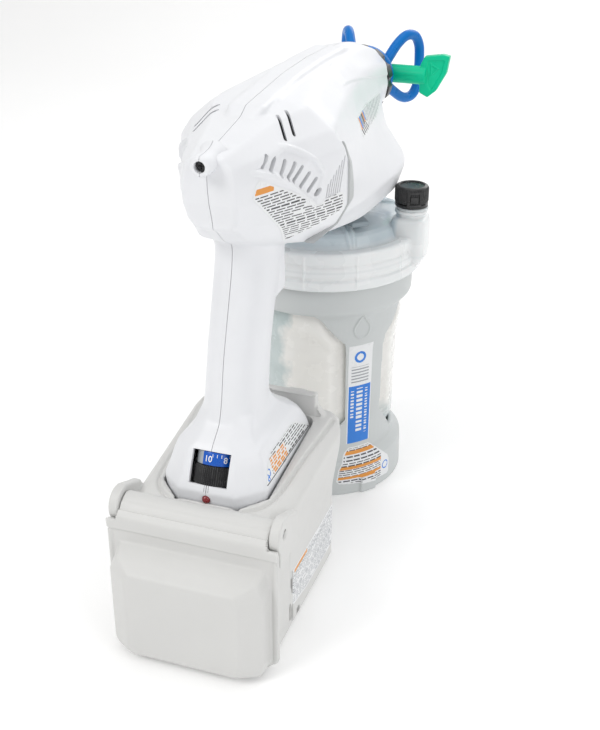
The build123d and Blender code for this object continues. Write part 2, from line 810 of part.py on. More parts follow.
def gear_housing():
    top = MOTOR_Z + 20
    with BuildPart() as piece:
        with BuildSketch(station_plane(138.2)):
            with BuildLine():
                Polyline((-22, top), (22, top), (22, 224), (16, 220), (-16, 220), (-22, 224),
                         close=True)
            make_face()
            with Locations(MOTOR_AT):
                Circle(4.2, mode=CUT)
        extrude(amount=-33.8)
        # hollow, open at the front
        with BuildSketch(station_plane(141.2)):
            with Locations((0, 252)):
                Rectangle(38, 56)
        extrude(amount=-31, mode=CUT)
    return piece.part


def drive_bearing():
    rear = 153
    thickness = 4.5
    arm_y = st(rear + thickness / 2)
    with BuildPart() as piece:
        bar_y(rear, DRIVE_AT, radius=9.0, length=thickness,
              bore=DRIVE_SHAFT_RADIUS + RUNNING_FIT)
        # arms out to both sides
        with Locations((-14, arm_y, DRIVE_Z), (14, arm_y, DRIVE_Z)):
            Box(10.0, thickness, 6)
    return piece.part


# ---------------------------------------------------------------- pump
PISTON_RADIUS = 4.0
PISTON_CIRCLE_RADIUS = 9.0
PISTONS_AT = [(PISTON_CIRCLE_RADIUS * math.cos(math.radians(angle)),
               DRIVE_Z + PISTON_CIRCLE_RADIUS * math.sin(math.radians(angle)))
              for angle in (90, 210, 330)]
PRIME_STEM_RADIUS = 3.0
OUTLET_BORE_RADIUS = 5.0
INLET_BORE_RADIUS = 8.0
PUMP_REAR = 174                 # stations
PUMP_LENGTH = 46


def pump_housing():
    with BuildPart() as piece:
        with BuildSketch(station_plane(PUMP_REAR)):
            with Locations((0, 250)):
                RectangleRounded(40, 52, 6)
        extrude(amount=-PUMP_LENGTH)
        # outlet barrel and inlet neck
        bar_y(PUMP_REAR + PUMP_LENGTH, SPRAY_AT, radius=13, length=54)
        bar_z(222, CUP_AT, radius=14, length=30)
        for piston_at in PISTONS_AT:
            bar_y(173, piston_at, radius=PISTON_RADIUS + RUNNING_FIT, length=32, mode=CUT)
        bar_y(200, SPRAY_AT, radius=OUTLET_BORE_RADIUS, length=80, mode=CUT)
        bar_z(215, CUP_AT, radius=INLET_BORE_RADIUS, length=30, mode=CUT)
    return piece.part


def piston(centre):
    with BuildPart() as piece:
        bar_y(166.5, centre, radius=PISTON_RADIUS, length=34)
        chamfer(piece.edges().group_by(Axis.Y)[0], 0.8)
    return piece.part


def piston_springs():
    """Plain sleeves that stand for the springs."""
    with BuildPart() as piece:
        for piston_at in PISTONS_AT:
            bar_y(168.5, piston_at, radius=6.3, length=5, bore=4.5)
    return piece.part


def prime_valve():
    with BuildPart() as piece:
        bar_x(-37, PRIME_AT, radius=7.0, length=17, bore=PRIME_STEM_RADIUS + RUNNING_FIT)
    return piece.part


def prime_knob():
    station, z = PRIME_AT
    with BuildPart() as piece:
        # round knob with an upright grip bar
        with BuildSketch(Plane.YZ.offset(-62)):
            with Locations((st(station), z)):
                Circle(9)
                with Locations((0, 5)):
                    RectangleRounded(8, 22, 3)
        extrude(amount=11)
        bar_x(-52, PRIME_AT, radius=PRIME_STEM_RADIUS, length=28)
    return piece.part


def outlet_valve():
    with BuildPart() as piece:
        bar_y(204, SPRAY_AT, radius=OUTLET_BORE_RADIUS - RUNNING_FIT, length=18, bore=2.0)
    return piece.part


def outlet_fitting():
    with BuildPart() as piece:
        bar_y(274.2, SPRAY_AT, radius=11.0, length=12)
        bar_y(286, SPRAY_AT, radius=7.5, length=30)
        bar_y(270, SPRAY_AT, radius=2.5, length=50, mode=CUT)
    return piece.part


def inlet_tube():
    with BuildPart() as piece:
        bar_z(186, CUP_AT, radius=INLET_BORE_RADIUS - RUNNING_FIT, length=50, bore=6.0)
        # collar
        bar_z(209, CUP_AT, radius=16.5, length=5, bore=7.0)
    return piece.part


def inlet_strainer():
    with BuildPart() as piece:
        # cage, then the spigot that enters the inlet tube
        bar_z(172, CUP_AT, radius=7.9, length=12)
        bar_z(184, CUP_AT, radius=5.95, length=8)
        bar_z(174, CUP_AT, radius=4.6, length=20, mode=CUT)
        # six side windows
        with BuildSketch(Plane.XY.offset(175)):
            with Locations((0, st(CUP_STATION))):
                with PolarLocations(6.6, 6):
                    Rectangle(6.0, 2.2)
        extrude(amount=7, mode=CUT)
    return piece.part


# ---------------------------------------------------------------- nozzle
NUT_REAR = 301.5                # station
NUT_BORE_RADIUS = 9.4
TIP_AT = (332, SPRAY_Z)         # axis of the tip barrel, (station, z)
TIP_RADIUS = 6.5
GUARD_NECK_FRONT = 318.6        # station where the guard body and the tip seal begin

# Guard wings, leaning out and forward: station, distance from the middle, height.
WING = [(330, 14, 25), (343, 19.3, 41), (356, 24.7, 47), (365, 28.4, 44), (369, 30, 35)]
WING_THICKNESS = 6
# Opening through each wing, same columns.
WING_OPENING = [(340.5, 17, 18), (351, 22, 33), (358, 25, 34), (363, 27, 29)]
WING_OPENING_WIDTH = 16

# Arrow-shaped flag at the end of the tip barrel: x, height from the spray axis.
FLAG = [(38, -12), (44, -15), (50, -10), (57, 3), (59, 15), (54, 16), (41, 14), (38, 8)]


def retaining_nut():
    with BuildPart() as piece:
        bar_y(NUT_REAR, SPRAY_AT, radius=17.2, length=16.5, bore=NUT_BORE_RADIUS)
        # wide grip with finger hollows
        with BuildSketch(station_plane(NUT_REAR)):
            with Locations(SPRAY_AT):
                Circle(23.4)
                Circle(NUT_BORE_RADIUS, mode=CUT)
                with PolarLocations(25.6, 10):
                    Circle(4.0, mode=CUT)
        extrude(amount=-10.0)
        chamfer(piece.faces().sort_by(Axis.Y)[-1].outer_wire().edges(), 1.0)
    return piece.part


def tip_guard():
    with BuildPart() as piece:
        # neck inside the nut, then the body that carries the tip
        bar_y(304, SPRAY_AT, radius=9.0, length=16, bore=7.8)
        bar_y(GUARD_NECK_FRONT, SPRAY_AT, radius=14, length=5)
        with BuildSketch(station_plane(323)):
            with Locations(SPRAY_AT):
                RectangleRounded(27, 24, 4)
        extrude(amount=-17)
        for side in (-1, 1):
            for station, x, height in WING:
                with BuildSketch(station_plane(station)):
                    with Locations((side * x, SPRAY_Z)):
                        RectangleRounded(WING_THICKNESS, height, 2)
            loft(ruled=True)
        for side in (-1, 1):
            for station, x, height in WING_OPENING:
                with BuildSketch(station_plane(station)):
                    with Locations((side * x, SPRAY_Z)):
                        Rectangle(WING_OPENING_WIDTH, height)
            loft(ruled=True, mode=CUT)
        # spray opening and cross bore for the tip barrel
        bar_y(318, SPRAY_AT, radius=6.0, length=24, mode=CUT)
        bar_x(-40, TIP_AT, radius=TIP_RADIUS + RUNNING_FIT, length=80, mode=CUT)
    return piece.part


def tip_seal():
    with BuildPart() as piece:
        bar_y(GUARD_NECK_FRONT, SPRAY_AT, radius=5.95, length=6, bore=2.2)
    return piece.part


def switch_tip():
    with BuildPart() as piece:
        bar_x(-12.5, TIP_AT, radius=TIP_RADIUS, length=55)
        prism_y(329, [(x, SPRAY_Z + rise) for x, rise in FLAG], length=6)
        # spray orifice
        bar_y(320, SPRAY_AT, radius=0.9, length=24, mode=CUT)
    return piece.part


# ---------------------------------------------------------------- cup
CUP_AXIS = Axis((0, st(CUP_STATION), 0), (0, 0, 1))
VENT_X, VENT_STATION = 61.5, 229.0
VENT_AT = (VENT_X, VENT_STATION)
COVER_BORE_RADIUS = 60.9
LATCH_BORE_RADIUS = 18.5

# Revolved sections: radius, z.
SUPPORT_SECTION = [
    (49.5, 0), (57, 0), (56.6, 26), (50.4, 31), (52, 110), (54.3, 124), (54.8, 137),
    (60.3, 143), (60.5, 146), (60.5, 184), (57.4, 184), (57.4, 155), (54.6, 148), (53, 137),
    (49.3, 110), (47.6, 34), (47.6, 20), (54, 17), (54, 3), (49.5, 3),
]
LINER_SECTION = [
    (0, 21), (40, 21), (46, 26), (46.6, 34), (48.4, 110), (52, 137), (53.6, 148),
    (56.4, 155.5), (56.4, 183), (55.6, 183), (55.6, 156), (52.6, 148), (51, 137),
    (47.4, 110), (45.6, 34), (45, 27), (39.5, 22), (0, 22),
]
COVER_SECTION = [
    (COVER_BORE_RADIUS, 162), (66.5, 162), (66.5, 188), (65, 190), (54, 191), (50, 196),
    (30, 199), (18, 200), (18, 202), (8.6, 202), (8.6, 194), (17, 193), (30, 196),
    (49, 193), (52, 188), (COVER_BORE_RADIUS, 187),
]
# Window in the support wall: distance from the window's middle, z.
WINDOW = [(-34.5, 58), (-19, 36), (19, 36), (34.5, 58),
          (34.5, 118), (18, 141), (-18, 141), (-34.5, 118)]
WINDOW_ANGLES = (-98, 22, 142)
LUG_ANGLES = (-38, 52, 142, 232)


def cup_revolved(section):
    """Solid of revolution about the cup axis."""
    with BuildPart() as piece:
        with BuildSketch(station_plane(CUP_STATION)):
            with BuildLine():
                Polyline(*section, close=True)
            make_face()
        revolve(axis=CUP_AXIS)
    return piece.part


def radial_plane(degrees, distance):
    """Upright plane facing out from the cup axis, local y up."""
    angle = math.radians(degrees)
    plane = Plane(origin=(0, st(CUP_STATION), 0),
                  x_dir=(-math.sin(angle), math.cos(angle), 0),
                  z_dir=(math.cos(angle), math.sin(angle), 0))
    return plane.offset(distance)


def cup_support():
    wall = cup_revolved(SUPPORT_SECTION)
    with BuildPart() as piece:
        add(wall)
        # closed floor above the foot ring
        bar_z(17, CUP_AT, radius=48, length=3)
        # three window openings between three posts
        for angle in WINDOW_ANGLES:
            extrude_ring(radial_plane(angle, 25), WINDOW, length=60, mode=CUT)
        # lugs round the foot
        for angle in LUG_ANGLES:
            with BuildSketch(radial_plane(angle, 53)):
                with Locations((0, 6.5)):
                    Rectangle(13, 13)
            extrude(amount=6)
    return piece.part


def liner_bag():
    return cup_revolved(LINER_SECTION)


def cup_cover():
    cover = cup_revolved(COVER_SECTION)
    with BuildPart() as piece:
        add(cover)
        # vent boss
        with BuildSketch(Plane.XY.offset(166)):
            with Locations((VENT_X - 1, st(VENT_STATION))):
                RectangleRounded(24, 26, 4)
        extrude(amount=34)
        bar_z(199, VENT_AT, radius=9.6, length=6)
        # keep the inside of the cover clear and drill the vent
        bar_z(160, CUP_AT, radius=COVER_BORE_RADIUS, length=26.4, mode=CUT)
        bar_z(160, (VENT_X - 4, VENT_STATION), radius=2.0, length=50, mode=CUT)
    return piece.part


def cover_gasket():
    with BuildPart() as piece:
        bar_z(184.1, CUP_AT, radius=60.4, length=2.2, bore=55.4)
    return piece.part


def vent_o_ring():
    with BuildPart() as piece:
        bar_z(205.05, VENT_AT, radius=10.4, length=1.8, bore=8.0)
    return piece.part


def vent_cap():
    with BuildPart() as piece:
        with BuildSketch(Plane.XY.offset(207)):
            with Locations((VENT_X, st(VENT_STATION))):
                Circle(11.2)
                # knurling
                with PolarLocations(11.5, 24):
                    Circle(0.5, mode=CUT)
        extrude(amount=14)
        # soften the shortest edges of the top face
        fillet(piece.faces().sort_by(Axis.Z)[-1].edges().group_by(SortBy.LENGTH)[0], 0.2)
    return piece.part


def cup_latch():
    """Flat ring round the cup neck with an arm to the rear right."""
    with BuildPart() as piece:
        with BuildSketch(Plane.XY.offset(200.7)):
            with Locations((0, st(CUP_STATION))):
                Circle(24)
            with BuildLine():
                Polyline((14, st(CUP_STATION - 16)), (32, st(CUP_STATION - 44)),
                         (41, st(CUP_STATION - 36)), (22, st(CUP_STATION - 8)), close=True)
            make_face()
            with Locations((0, st(CUP_STATION))):
                Circle(LATCH_BORE_RADIUS, mode=CUT)
        extrude(amount=3.6)
    return piece.part


# ---------------------------------------------------------------- build and export
body = gun_body()
save("right_shell", half_of(body, Keep.TOP))
save("left_shell", half_of(body, Keep.BOTTOM))

case = battery_case()
save("case_right", half_of(case, Keep.TOP))
save("case_left", half_of(case, Keep.BOTTOM))

for number, piston_at in enumerate(PISTONS_AT, start=1):
    save(f"piston_{number}", piston(piston_at))

# Each of these functions bears the name of its piece.
PIECES = [
    shell_screws, rear_screw, speed_dial, dial_scale, indicator_lens,
    hinge_pin, battery_door, door_gasket,
    battery_pack, release_button, terminal_block, control_board, wire_harness,
    trigger, trigger_pin, trigger_spring, trigger_lock, trigger_switch, switch_plunger,
    motor_can, motor_magnets, motor_end_cap, motor_bearings, rotor, cooling_fan,
    motor_pinion, drive_gear, swash_shaft, gear_housing, drive_bearing,
    pump_housing, piston_springs, prime_valve, prime_knob,
    outlet_valve, outlet_fitting, inlet_tube, inlet_strainer,
    retaining_nut, tip_guard, tip_seal, switch_tip,
    cup_support, liner_bag, cup_cover, cover_gasket, vent_o_ring, vent_cap, cup_latch,
]
for make_piece in PIECES:
    save(make_piece.__name__, make_piece())
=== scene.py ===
import bpy
import bmesh
import json
import math
import numpy as np
from mathutils import Vector, Matrix, noise
from mathutils.bvhtree import BVHTree

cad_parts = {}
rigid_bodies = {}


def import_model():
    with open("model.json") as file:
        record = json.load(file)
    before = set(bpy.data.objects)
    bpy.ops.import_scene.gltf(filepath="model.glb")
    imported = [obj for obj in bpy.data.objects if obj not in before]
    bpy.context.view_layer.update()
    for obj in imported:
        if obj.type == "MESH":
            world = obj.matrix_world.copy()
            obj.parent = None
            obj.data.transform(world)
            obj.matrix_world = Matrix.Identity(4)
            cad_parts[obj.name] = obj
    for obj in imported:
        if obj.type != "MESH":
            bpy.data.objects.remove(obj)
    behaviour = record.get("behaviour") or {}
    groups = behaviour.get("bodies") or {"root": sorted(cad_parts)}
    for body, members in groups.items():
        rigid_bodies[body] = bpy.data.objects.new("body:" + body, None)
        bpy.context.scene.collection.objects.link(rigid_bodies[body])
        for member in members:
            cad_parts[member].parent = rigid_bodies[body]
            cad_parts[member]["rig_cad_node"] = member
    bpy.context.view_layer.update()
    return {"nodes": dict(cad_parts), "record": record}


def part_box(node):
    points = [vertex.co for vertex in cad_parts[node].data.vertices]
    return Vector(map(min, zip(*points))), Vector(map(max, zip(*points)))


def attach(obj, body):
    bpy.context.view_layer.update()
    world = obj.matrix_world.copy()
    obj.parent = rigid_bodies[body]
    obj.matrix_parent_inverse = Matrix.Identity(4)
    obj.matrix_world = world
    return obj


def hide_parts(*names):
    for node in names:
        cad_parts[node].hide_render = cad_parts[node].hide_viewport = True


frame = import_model()
NODES = frame["nodes"]

MM = 0.001
ORG = 61.0          # stations along the spray count from the door line; the origin is 61 mm in front of it
SPRAY_Z = 268.0
CUP_Y = 233.0
HINGE_Y, HINGE_Z = 8.5, 88.0


def V(x, y, z):
    """Station coordinates in mm to metres in the shared frame."""
    return Vector((x * MM, (y - ORG) * MM, z * MM))


# ------------------------------------------------------------------ materials
def new_mat(name):
    m = bpy.data.materials.new(name)
    m.use_nodes = True
    nt = m.node_tree
    nt.nodes.clear()
    out = nt.nodes.new("ShaderNodeOutputMaterial")
    b = nt.nodes.new("ShaderNodeBsdfPrincipled")
    nt.links.new(b.outputs[0], out.inputs[0])
    return m, nt, b, out


def node(nt, kind, **kw):
    n = nt.nodes.new(kind)
    for k, v in kw.items():
        if k in n.inputs.keys() if hasattr(n.inputs, "keys") else False:
            n.inputs[k].default_value = v
        else:
            setattr(n, k, v)
    return n


def math_node(nt, op, a=None, b=None, clamp=False):
    n = nt.nodes.new("ShaderNodeMath")
    n.operation = op
    n.use_clamp = clamp
    for i, v in enumerate((a, b)):
        if v is None:
            continue
        if hasattr(v, "is_output"):
            nt.links.new(v, n.inputs[i])
        else:
            n.inputs[i].default_value = v
    return n.outputs[0]


def mix_col(nt, fac, a, b, mode="MIX"):
    n = nt.nodes.new("ShaderNodeMix")
    n.data_type = "RGBA"
    n.blend_type = mode
    for sock, v in ((n.inputs[0], fac), (n.inputs[6], a), (n.inputs[7], b)):
        if hasattr(v, "is_output"):
            nt.links.new(v, sock)
        elif isinstance(v, (int, float)):
            sock.default_value = v
        else:
            sock.default_value = (*v[:3], 1.0)
    return n.outputs[2]


def coords(nt):
    return nt.nodes.new("ShaderNodeTexCoord").outputs["Object"]


def noise_tex(nt, vec, scale, detail=3.0, rough=0.55):
    n = nt.nodes.new("ShaderNodeTexNoise")
    n.inputs["Scale"].default_value = scale
    n.inputs["Detail"].default_value = detail
    n.inputs["Roughness"].default_value = rough
    nt.links.new(vec, n.inputs["Vector"])
    return n.outputs["Fac"]


def ramp(nt, fac, lo, hi, a=0.0, b=1.0):
    n = nt.nodes.new("ShaderNodeMapRange")
    n.inputs["From Min"].default_value = lo
    n.inputs["From Max"].default_value = hi
    n.inputs["To Min"].default_value = a
    n.inputs["To Max"].default_value = b
    nt.links.new(fac, n.inputs["Value"])
    return n.outputs["Result"]


def bump(nt, b, height, strength, dist):
    n = nt.nodes.new("ShaderNodeBump")
    n.inputs["Strength"].default_value = strength
    n.inputs["Distance"].default_value = dist
    nt.links.new(height, n.inputs["Height"])
    nt.links.new(n.outputs[0], b.inputs["Normal"])
    return n


def plastic(name, col, rough=0.38, grain=1600, grain_h=0.00006, var=0.05, wear=None, sss=0.0, coat=0.0, spec=0.5,
            dirt=0.0):
    """Moulded plastic: spark-eroded grain, slow colour drift, roughness drift and paler rubbed edges."""
    m, nt, b, out = new_mat(name)
    vec = coords(nt)
    slow = noise_tex(nt, vec, 22, 4)
    mid = noise_tex(nt, vec, 140, 3)
    fine = noise_tex(nt, vec, grain, 2)
    dark = tuple(c * (1 - var) for c in col)
    light = tuple(min(1, c * (1 + var * 0.6)) for c in col)
    c = mix_col(nt, ramp(nt, slow, 0.3, 0.7), dark, light)
    if dirt:
        c = mix_col(nt, ramp(nt, mid, 0.58, 0.8, 0, dirt), c, tuple(x * 0.72 for x in col))
    if wear:
        geo = nt.nodes.new("ShaderNodeNewGeometry")
        edge = ramp(nt, geo.outputs["Pointiness"], 0.515, 0.56)
        edge = math_node(nt, "MULTIPLY", edge, ramp(nt, mid, 0.42, 0.62), True)
        c = mix_col(nt, math_node(nt, "MULTIPLY", edge, 0.6), c, wear)
    nt.links.new(c, b.inputs["Base Color"])
    r = math_node(nt, "ADD", ramp(nt, mid, 0.3, 0.7, -0.05, 0.05), rough)
    r = math_node(nt, "ADD", ramp(nt, slow, 0.3, 0.7, -0.03, 0.04), r)
    nt.links.new(r, b.inputs["Roughness"])
    b.inputs["Specular IOR Level"].default_value = spec
    if sss:
        b.inputs["Subsurface Weight"].default_value = sss
        b.inputs["Subsurface Radius"].default_value = (0.004, 0.004, 0.004)
        b.inputs["Subsurface Scale"].default_value = 0.5
    if coat:
        b.inputs["Coat Weight"].default_value = coat
        b.inputs["Coat Roughness"].default_value = 0.12
    bump(nt, b, fine, 0.35, grain_h)
    return m


def metal(name, col, rough=0.3, brush=(1, 1, 1), scale=600, var=0.12, strength=0.25):
    m, nt, b, out = new_mat(name)
    tc = coords(nt)
    mp = nt.nodes.new("ShaderNodeMapping")
    mp.inputs["Scale"].default_value = brush
    nt.links.new(tc, mp.inputs["Vector"])
    f = noise_tex(nt, mp.outputs[0], scale, 4)
    slow = noise_tex(nt, tc, 60, 3)
    c = mix_col(nt, ramp(nt, f, 0.35, 0.65), tuple(x * (1 - var) for x in col), col)
    c = mix_col(nt, ramp(nt, slow, 0.5, 0.75, 0, 0.35), c, tuple(x * 0.7 for x in col))
    nt.links.new(c, b.inputs["Base Color"])
    b.inputs["Metallic"].default_value = 1.0
    nt.links.new(math_node(nt, "ADD", ramp(nt, f, 0.3, 0.7, -0.07, 0.1), rough), b.inputs["Roughness"])
    bump(nt, b, f, strength, 0.00003)
    return m


def rubber(name, col, rough=0.62):
    m, nt, b, out = new_mat(name)
    vec = coords(nt)
    f = noise_tex(nt, vec, 900, 3)
    s = noise_tex(nt, vec, 60, 3)
    c = mix_col(nt, ramp(nt, s, 0.35, 0.7), col, tuple(min(1, x * 1.6 + 0.01) for x in col))
    nt.links.new(c, b.inputs["Base Color"])
    nt.links.new(math_node(nt, "ADD", ramp(nt, f, 0.3, 0.7, -0.08, 0.08), rough), b.inputs["Roughness"])
    bump(nt, b, f, 0.5, 0.00008)
    return m


def translucent(name, col, rough=0.3, trans=0.5, density=30.0, grain=700, h=0.00008, alpha_mix=0.0):
    """Milky polymer: part transmission, part diffuse, with flow marks."""
    m, nt, b, out = new_mat(name)
    vec = coords(nt)
    slow = noise_tex(nt, vec, 30, 4)
    fine = noise_tex(nt, vec, grain, 2)
    c = mix_col(nt, ramp(nt, slow, 0.3, 0.7), tuple(x * 0.95 for x in col), tuple(min(1, x * 1.04) for x in col))
    nt.links.new(c, b.inputs["Base Color"])
    b.inputs["Transmission Weight"].default_value = trans
    b.inputs["IOR"].default_value = 1.3
    nt.links.new(math_node(nt, "ADD", ramp(nt, slow, 0.3, 0.7, -0.05, 0.07), rough), b.inputs["Roughness"])
    b.inputs["Subsurface Weight"].default_value = 0.15
    b.inputs["Subsurface Radius"].default_value = (0.006, 0.006, 0.006)
    b.inputs["Subsurface Scale"].default_value = 0.6
    bump(nt, b, fine, 0.3, h)
    if alpha_mix:
        tr = nt.nodes.new("ShaderNodeBsdfTransparent")
        mx = nt.nodes.new("ShaderNodeMixShader")
        nt.links.new(ramp(nt, slow, 0.3, 0.7, alpha_mix - 0.05, alpha_mix + 0.05), mx.inputs[0])
        nt.links.new(b.outputs[0], mx.inputs[1])
        nt.links.new(tr.outputs[0], mx.inputs[2])
        nt.links.new(mx.outputs[0], out.inputs[0])
    return m


M = {
    "shell": plastic("shell_white", (0.80, 0.81, 0.835), 0.36, 1500, 0.00005, 0.025, sss=0.08, spec=0.45, dirt=0.04),
    "case": plastic("case_grey", (0.66, 0.66, 0.648), 0.46, 1100, 0.00012, 0.02, wear=(0.74, 0.74, 0.73), dirt=0.02),
    "support": plastic("support_grey", (0.575, 0.60, 0.60), 0.42, 1200, 0.0001, 0.02, wear=(0.62, 0.64, 0.64)),
    "black": plastic("black_moulded", (0.018, 0.018, 0.019), 0.38, 1100, 0.0001, 0.2, wear=(0.07, 0.07, 0.07)),
    "black2": plastic("black_fine", (0.012, 0.012, 0.013), 0.3, 1500, 0.00006, 0.2, wear=(0.05, 0.05, 0.05)),
    "blue": plastic("guard_blue", (0.001, 0.165, 0.55), 0.3, 1200, 0.00006, 0.08, wear=(0.02, 0.2, 0.6), spec=0.22),
    "scale": plastic("scale_blue", (0.004, 0.10, 0.52), 0.28, 1500, 0.00003, 0.08),
    "green": plastic("tip_green", (0.001, 0.57, 0.30), 0.32, 1200, 0.00006, 0.06, wear=(0.03, 0.58, 0.33), spec=0.22),
    "battery": plastic("battery_black", (0.03, 0.03, 0.032), 0.5, 900, 0.00012, 0.2, wear=(0.09, 0.09, 0.09)),
    "nylon": plastic("nylon_natural", (0.70, 0.68, 0.60), 0.45, 900, 0.00008, 0.05, sss=0.15),
    "board": plastic("board_green", (0.01, 0.11, 0.045), 0.35, 700, 0.00005, 0.25),
    "steel": metal("steel_turned", (0.56, 0.56, 0.57), 0.28, (1, 6, 1), 500),
    "alu": metal("aluminium_cast", (0.62, 0.63, 0.64), 0.42, (1, 1, 1), 500, 0.15, 0.6),
    "copper": metal("bronze_bush", (0.55, 0.33, 0.18), 0.35, (1, 5, 1), 400),
    "rubber": rubber("rubber_black", (0.02, 0.02, 0.02)),
    "wire": rubber("wire_sleeve", (0.16, 0.012, 0.012), 0.45),
    "liner": translucent("liner_film", (0.80, 0.82, 0.78), 0.3, 0.35, alpha_mix=0.12),
}


def cover_material():
    """Milky ring, cooler and clearer over the dome."""
    m, nt, b, out = new_mat("cover_milky")
    tc = coords(nt)
    sep = nt.nodes.new("ShaderNodeSeparateXYZ")
    nt.links.new(tc, sep.inputs[0])
    yy = math_node(nt, "SUBTRACT", sep.outputs["Y"], (CUP_Y - ORG) * MM)
    r2 = math_node(nt, "ADD", math_node(nt, "MULTIPLY", yy, yy), math_node(nt, "MULTIPLY", sep.outputs["X"], sep.outputs["X"]))
    r = math_node(nt, "SQRT", r2)
    slow = noise_tex(nt, tc, 28, 3)
    fine = noise_tex(nt, tc, 900, 2)
    dome = ramp(nt, r, 0.0575, 0.0545)
    ring = mix_col(nt, ramp(nt, slow, 0.3, 0.7), (0.76, 0.785, 0.79), (0.82, 0.84, 0.845))
    blue_ = mix_col(nt, ramp(nt, slow, 0.3, 0.7), (0.60, 0.69, 0.74), (0.68, 0.76, 0.80))
    # darker bands where the thread shows through the wall
    z = sep.outputs["Z"]
    band = math_node(nt, "SINE", math_node(nt, "MULTIPLY", z, 2 * math.pi / 0.0062))
    band = math_node(nt, "MULTIPLY", ramp(nt, band, 0.45, 0.95), ramp(nt, z, 0.181, 0.178), True)
    ring = mix_col(nt, math_node(nt, "MULTIPLY", band, 0.16), ring, (0.50, 0.54, 0.56))
    nt.links.new(mix_col(nt, dome, ring, blue_), b.inputs["Base Color"])
    nt.links.new(ramp(nt, slow, 0.3, 0.7, 0.2, 0.32), b.inputs["Roughness"])
    b.inputs["Subsurface Weight"].default_value = 0.35
    b.inputs["Subsurface Radius"].default_value = (0.005, 0.006, 0.006)
    b.inputs["Subsurface Scale"].default_value = 0.6
    b.inputs["Coat Weight"].default_value = 0.35
    b.inputs["Coat Roughness"].default_value = 0.15
    bump(nt, b, fine, 0.3, 0.00005)
    tr = nt.nodes.new("ShaderNodeBsdfTransparent")
    mx = nt.nodes.new("ShaderNodeMixShader")
    nt.links.new(ramp(nt, dome, 0, 1, 0.0, 0.08), mx.inputs[0])
    nt.links.new(b.outputs[0], mx.inputs[1])
    nt.links.new(tr.outputs[0], mx.inputs[2])
    nt.links.new(mx.outputs[0], out.inputs[0])
    return m


M["cover"] = cover_material()
# darker grey of the shell plastic for the fin blades: painted shade standing in for the shade on their side facets
M["shell_painted_shade"] = plastic("shell_painted_shade", (0.50, 0.515, 0.52), 0.36, 1600, 0.00006, 0.04)


def set_mat(o, m):
    o.data.materials.clear()
    o.data.materials.append(m)


SLOT_MAT = {"shell": "shell", "case": "case", "support": "support", "cover": "cover", "liner": "liner", "black": "black",
            "blue": "blue", "scale": "scale", "green": "green", "lamp": "lamp", "steel": "steel", "alu": "alu",
            "copper": "copper", "rubber": "rubber", "board": "board", "battery": "battery", "wire": "wire",
            "gearplastic": "nylon"}

m, nt, b, out = new_mat("lamp_red")
vec = coords(nt)
f = noise_tex(nt, vec, 500, 2)
nt.links.new(mix_col(nt, f, (0.22, 0.004, 0.008), (0.34, 0.01, 0.018)), b.inputs["Base Color"])
nt.links.new(ramp(nt, f, 0.3, 0.7, 0.08, 0.18), b.inputs["Roughness"])
b.inputs["Transmission Weight"].default_value = 0.25
b.inputs["Coat Weight"].default_value = 0.6
bump(nt, b, f, 0.2, 0.00004)
M["lamp"] = m

for sp in frame["record"]["subparts"]:
    o = NODES[sp["node"]]
    o.data.materials.clear()
    o.data.materials.append(M[SLOT_MAT[sp["material_slot"]]])
    o.data.shade_smooth()
    o.data.set_sharp_from_angle(angle=math.radians(30))


# ------------------------------------------------------------------ mesh helpers
def link(o):
    bpy.context.scene.collection.objects.link(o)
    return o


def mesh_obj(name, verts, faces):
    me = bpy.data.meshes.new(name)
    me.from_pydata([tuple(v) for v in verts], [], [tuple(f) for f in faces])
    me.validate()
    me.update()
    return link(bpy.data.objects.new(name, me))


def bake(o):
    bpy.context.view_layer.update()
    dg = bpy.context.evaluated_depsgraph_get()
    me = bpy.data.meshes.new_from_object(o.evaluated_get(dg))
    old = o.data
    o.modifiers.clear()
    o.data = me
    if old.users == 0:
        bpy.data.meshes.remove(old)
    return o


def drop(*objs):
    for o in objs:
        me = o.data
        bpy.data.objects.remove(o)
        if me.users == 0:
            bpy.data.meshes.remove(me)


def join(objs, name):
    """One object holding copies of the meshes of objs, which are removed unless they are CAD nodes."""
    bm = bmesh.new()
    for o in objs:
        t = o.data.copy()
        t.transform(o.matrix_world)
        bm.from_mesh(t)
        bpy.data.meshes.remove(t)
    me = bpy.data.meshes.new(name)
    bm.to_mesh(me)
    bm.free()
    for o in objs:
        if "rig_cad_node" not in o:
            drop(o)
    return link(bpy.data.objects.new(name, me))


def remesh(o, size, smooth=0, factor=0.5):
    m = o.modifiers.new("r", "REMESH")
    m.mode = "VOXEL"
    m.voxel_size = size * MM
    m.adaptivity = 0.0
    if smooth:
        s = o.modifiers.new("s", "SMOOTH")
        s.factor = factor
        s.iterations = smooth
    return bake(o)


def weld(o, dist=1e-6):
    bm = bmesh.new()
    bm.from_mesh(o.data)
    bmesh.ops.remove_doubles(bm, verts=bm.verts, dist=dist)
    bmesh.ops.recalc_face_normals(bm, faces=bm.faces)
    bm.to_mesh(o.data)
    bm.free()
    return o


def cut(o, cutters, op="DIFFERENCE"):
    for c in cutters:
        m = o.modifiers.new("b", "BOOLEAN")
        m.operation = op
        m.object = c
        m.solver = "MANIFOLD"
    n0 = len(o.data.polygons)
    bake(o)
    drop(*cutters)
    return o


def finish_mesh(o, angle=38):
    o.data.shade_smooth()
    o.data.set_sharp_from_angle(angle=math.radians(angle))
    return o


def grid_tube(name, rings, cap=True, closed=True):
    """Tube through rings (list of equal-length point lists)."""
    R = [np.asarray(r, float) for r in rings]
    n = len(R[0])
    verts = np.vstack(R)
    faces = []
    for i in range(len(R) - 1):
        a, b2 = i * n, (i + 1) * n
        for j in range(n if closed else n - 1):
            k = (j + 1) % n
            faces.append((a + j, a + k, b2 + k, b2 + j))
    if cap:
        faces.append(tuple(range(n - 1, -1, -1)))
        faces.append(tuple((len(R) - 1) * n + j for j in range(n)))
    o = mesh_obj(name, verts, faces)
    return weld(o)


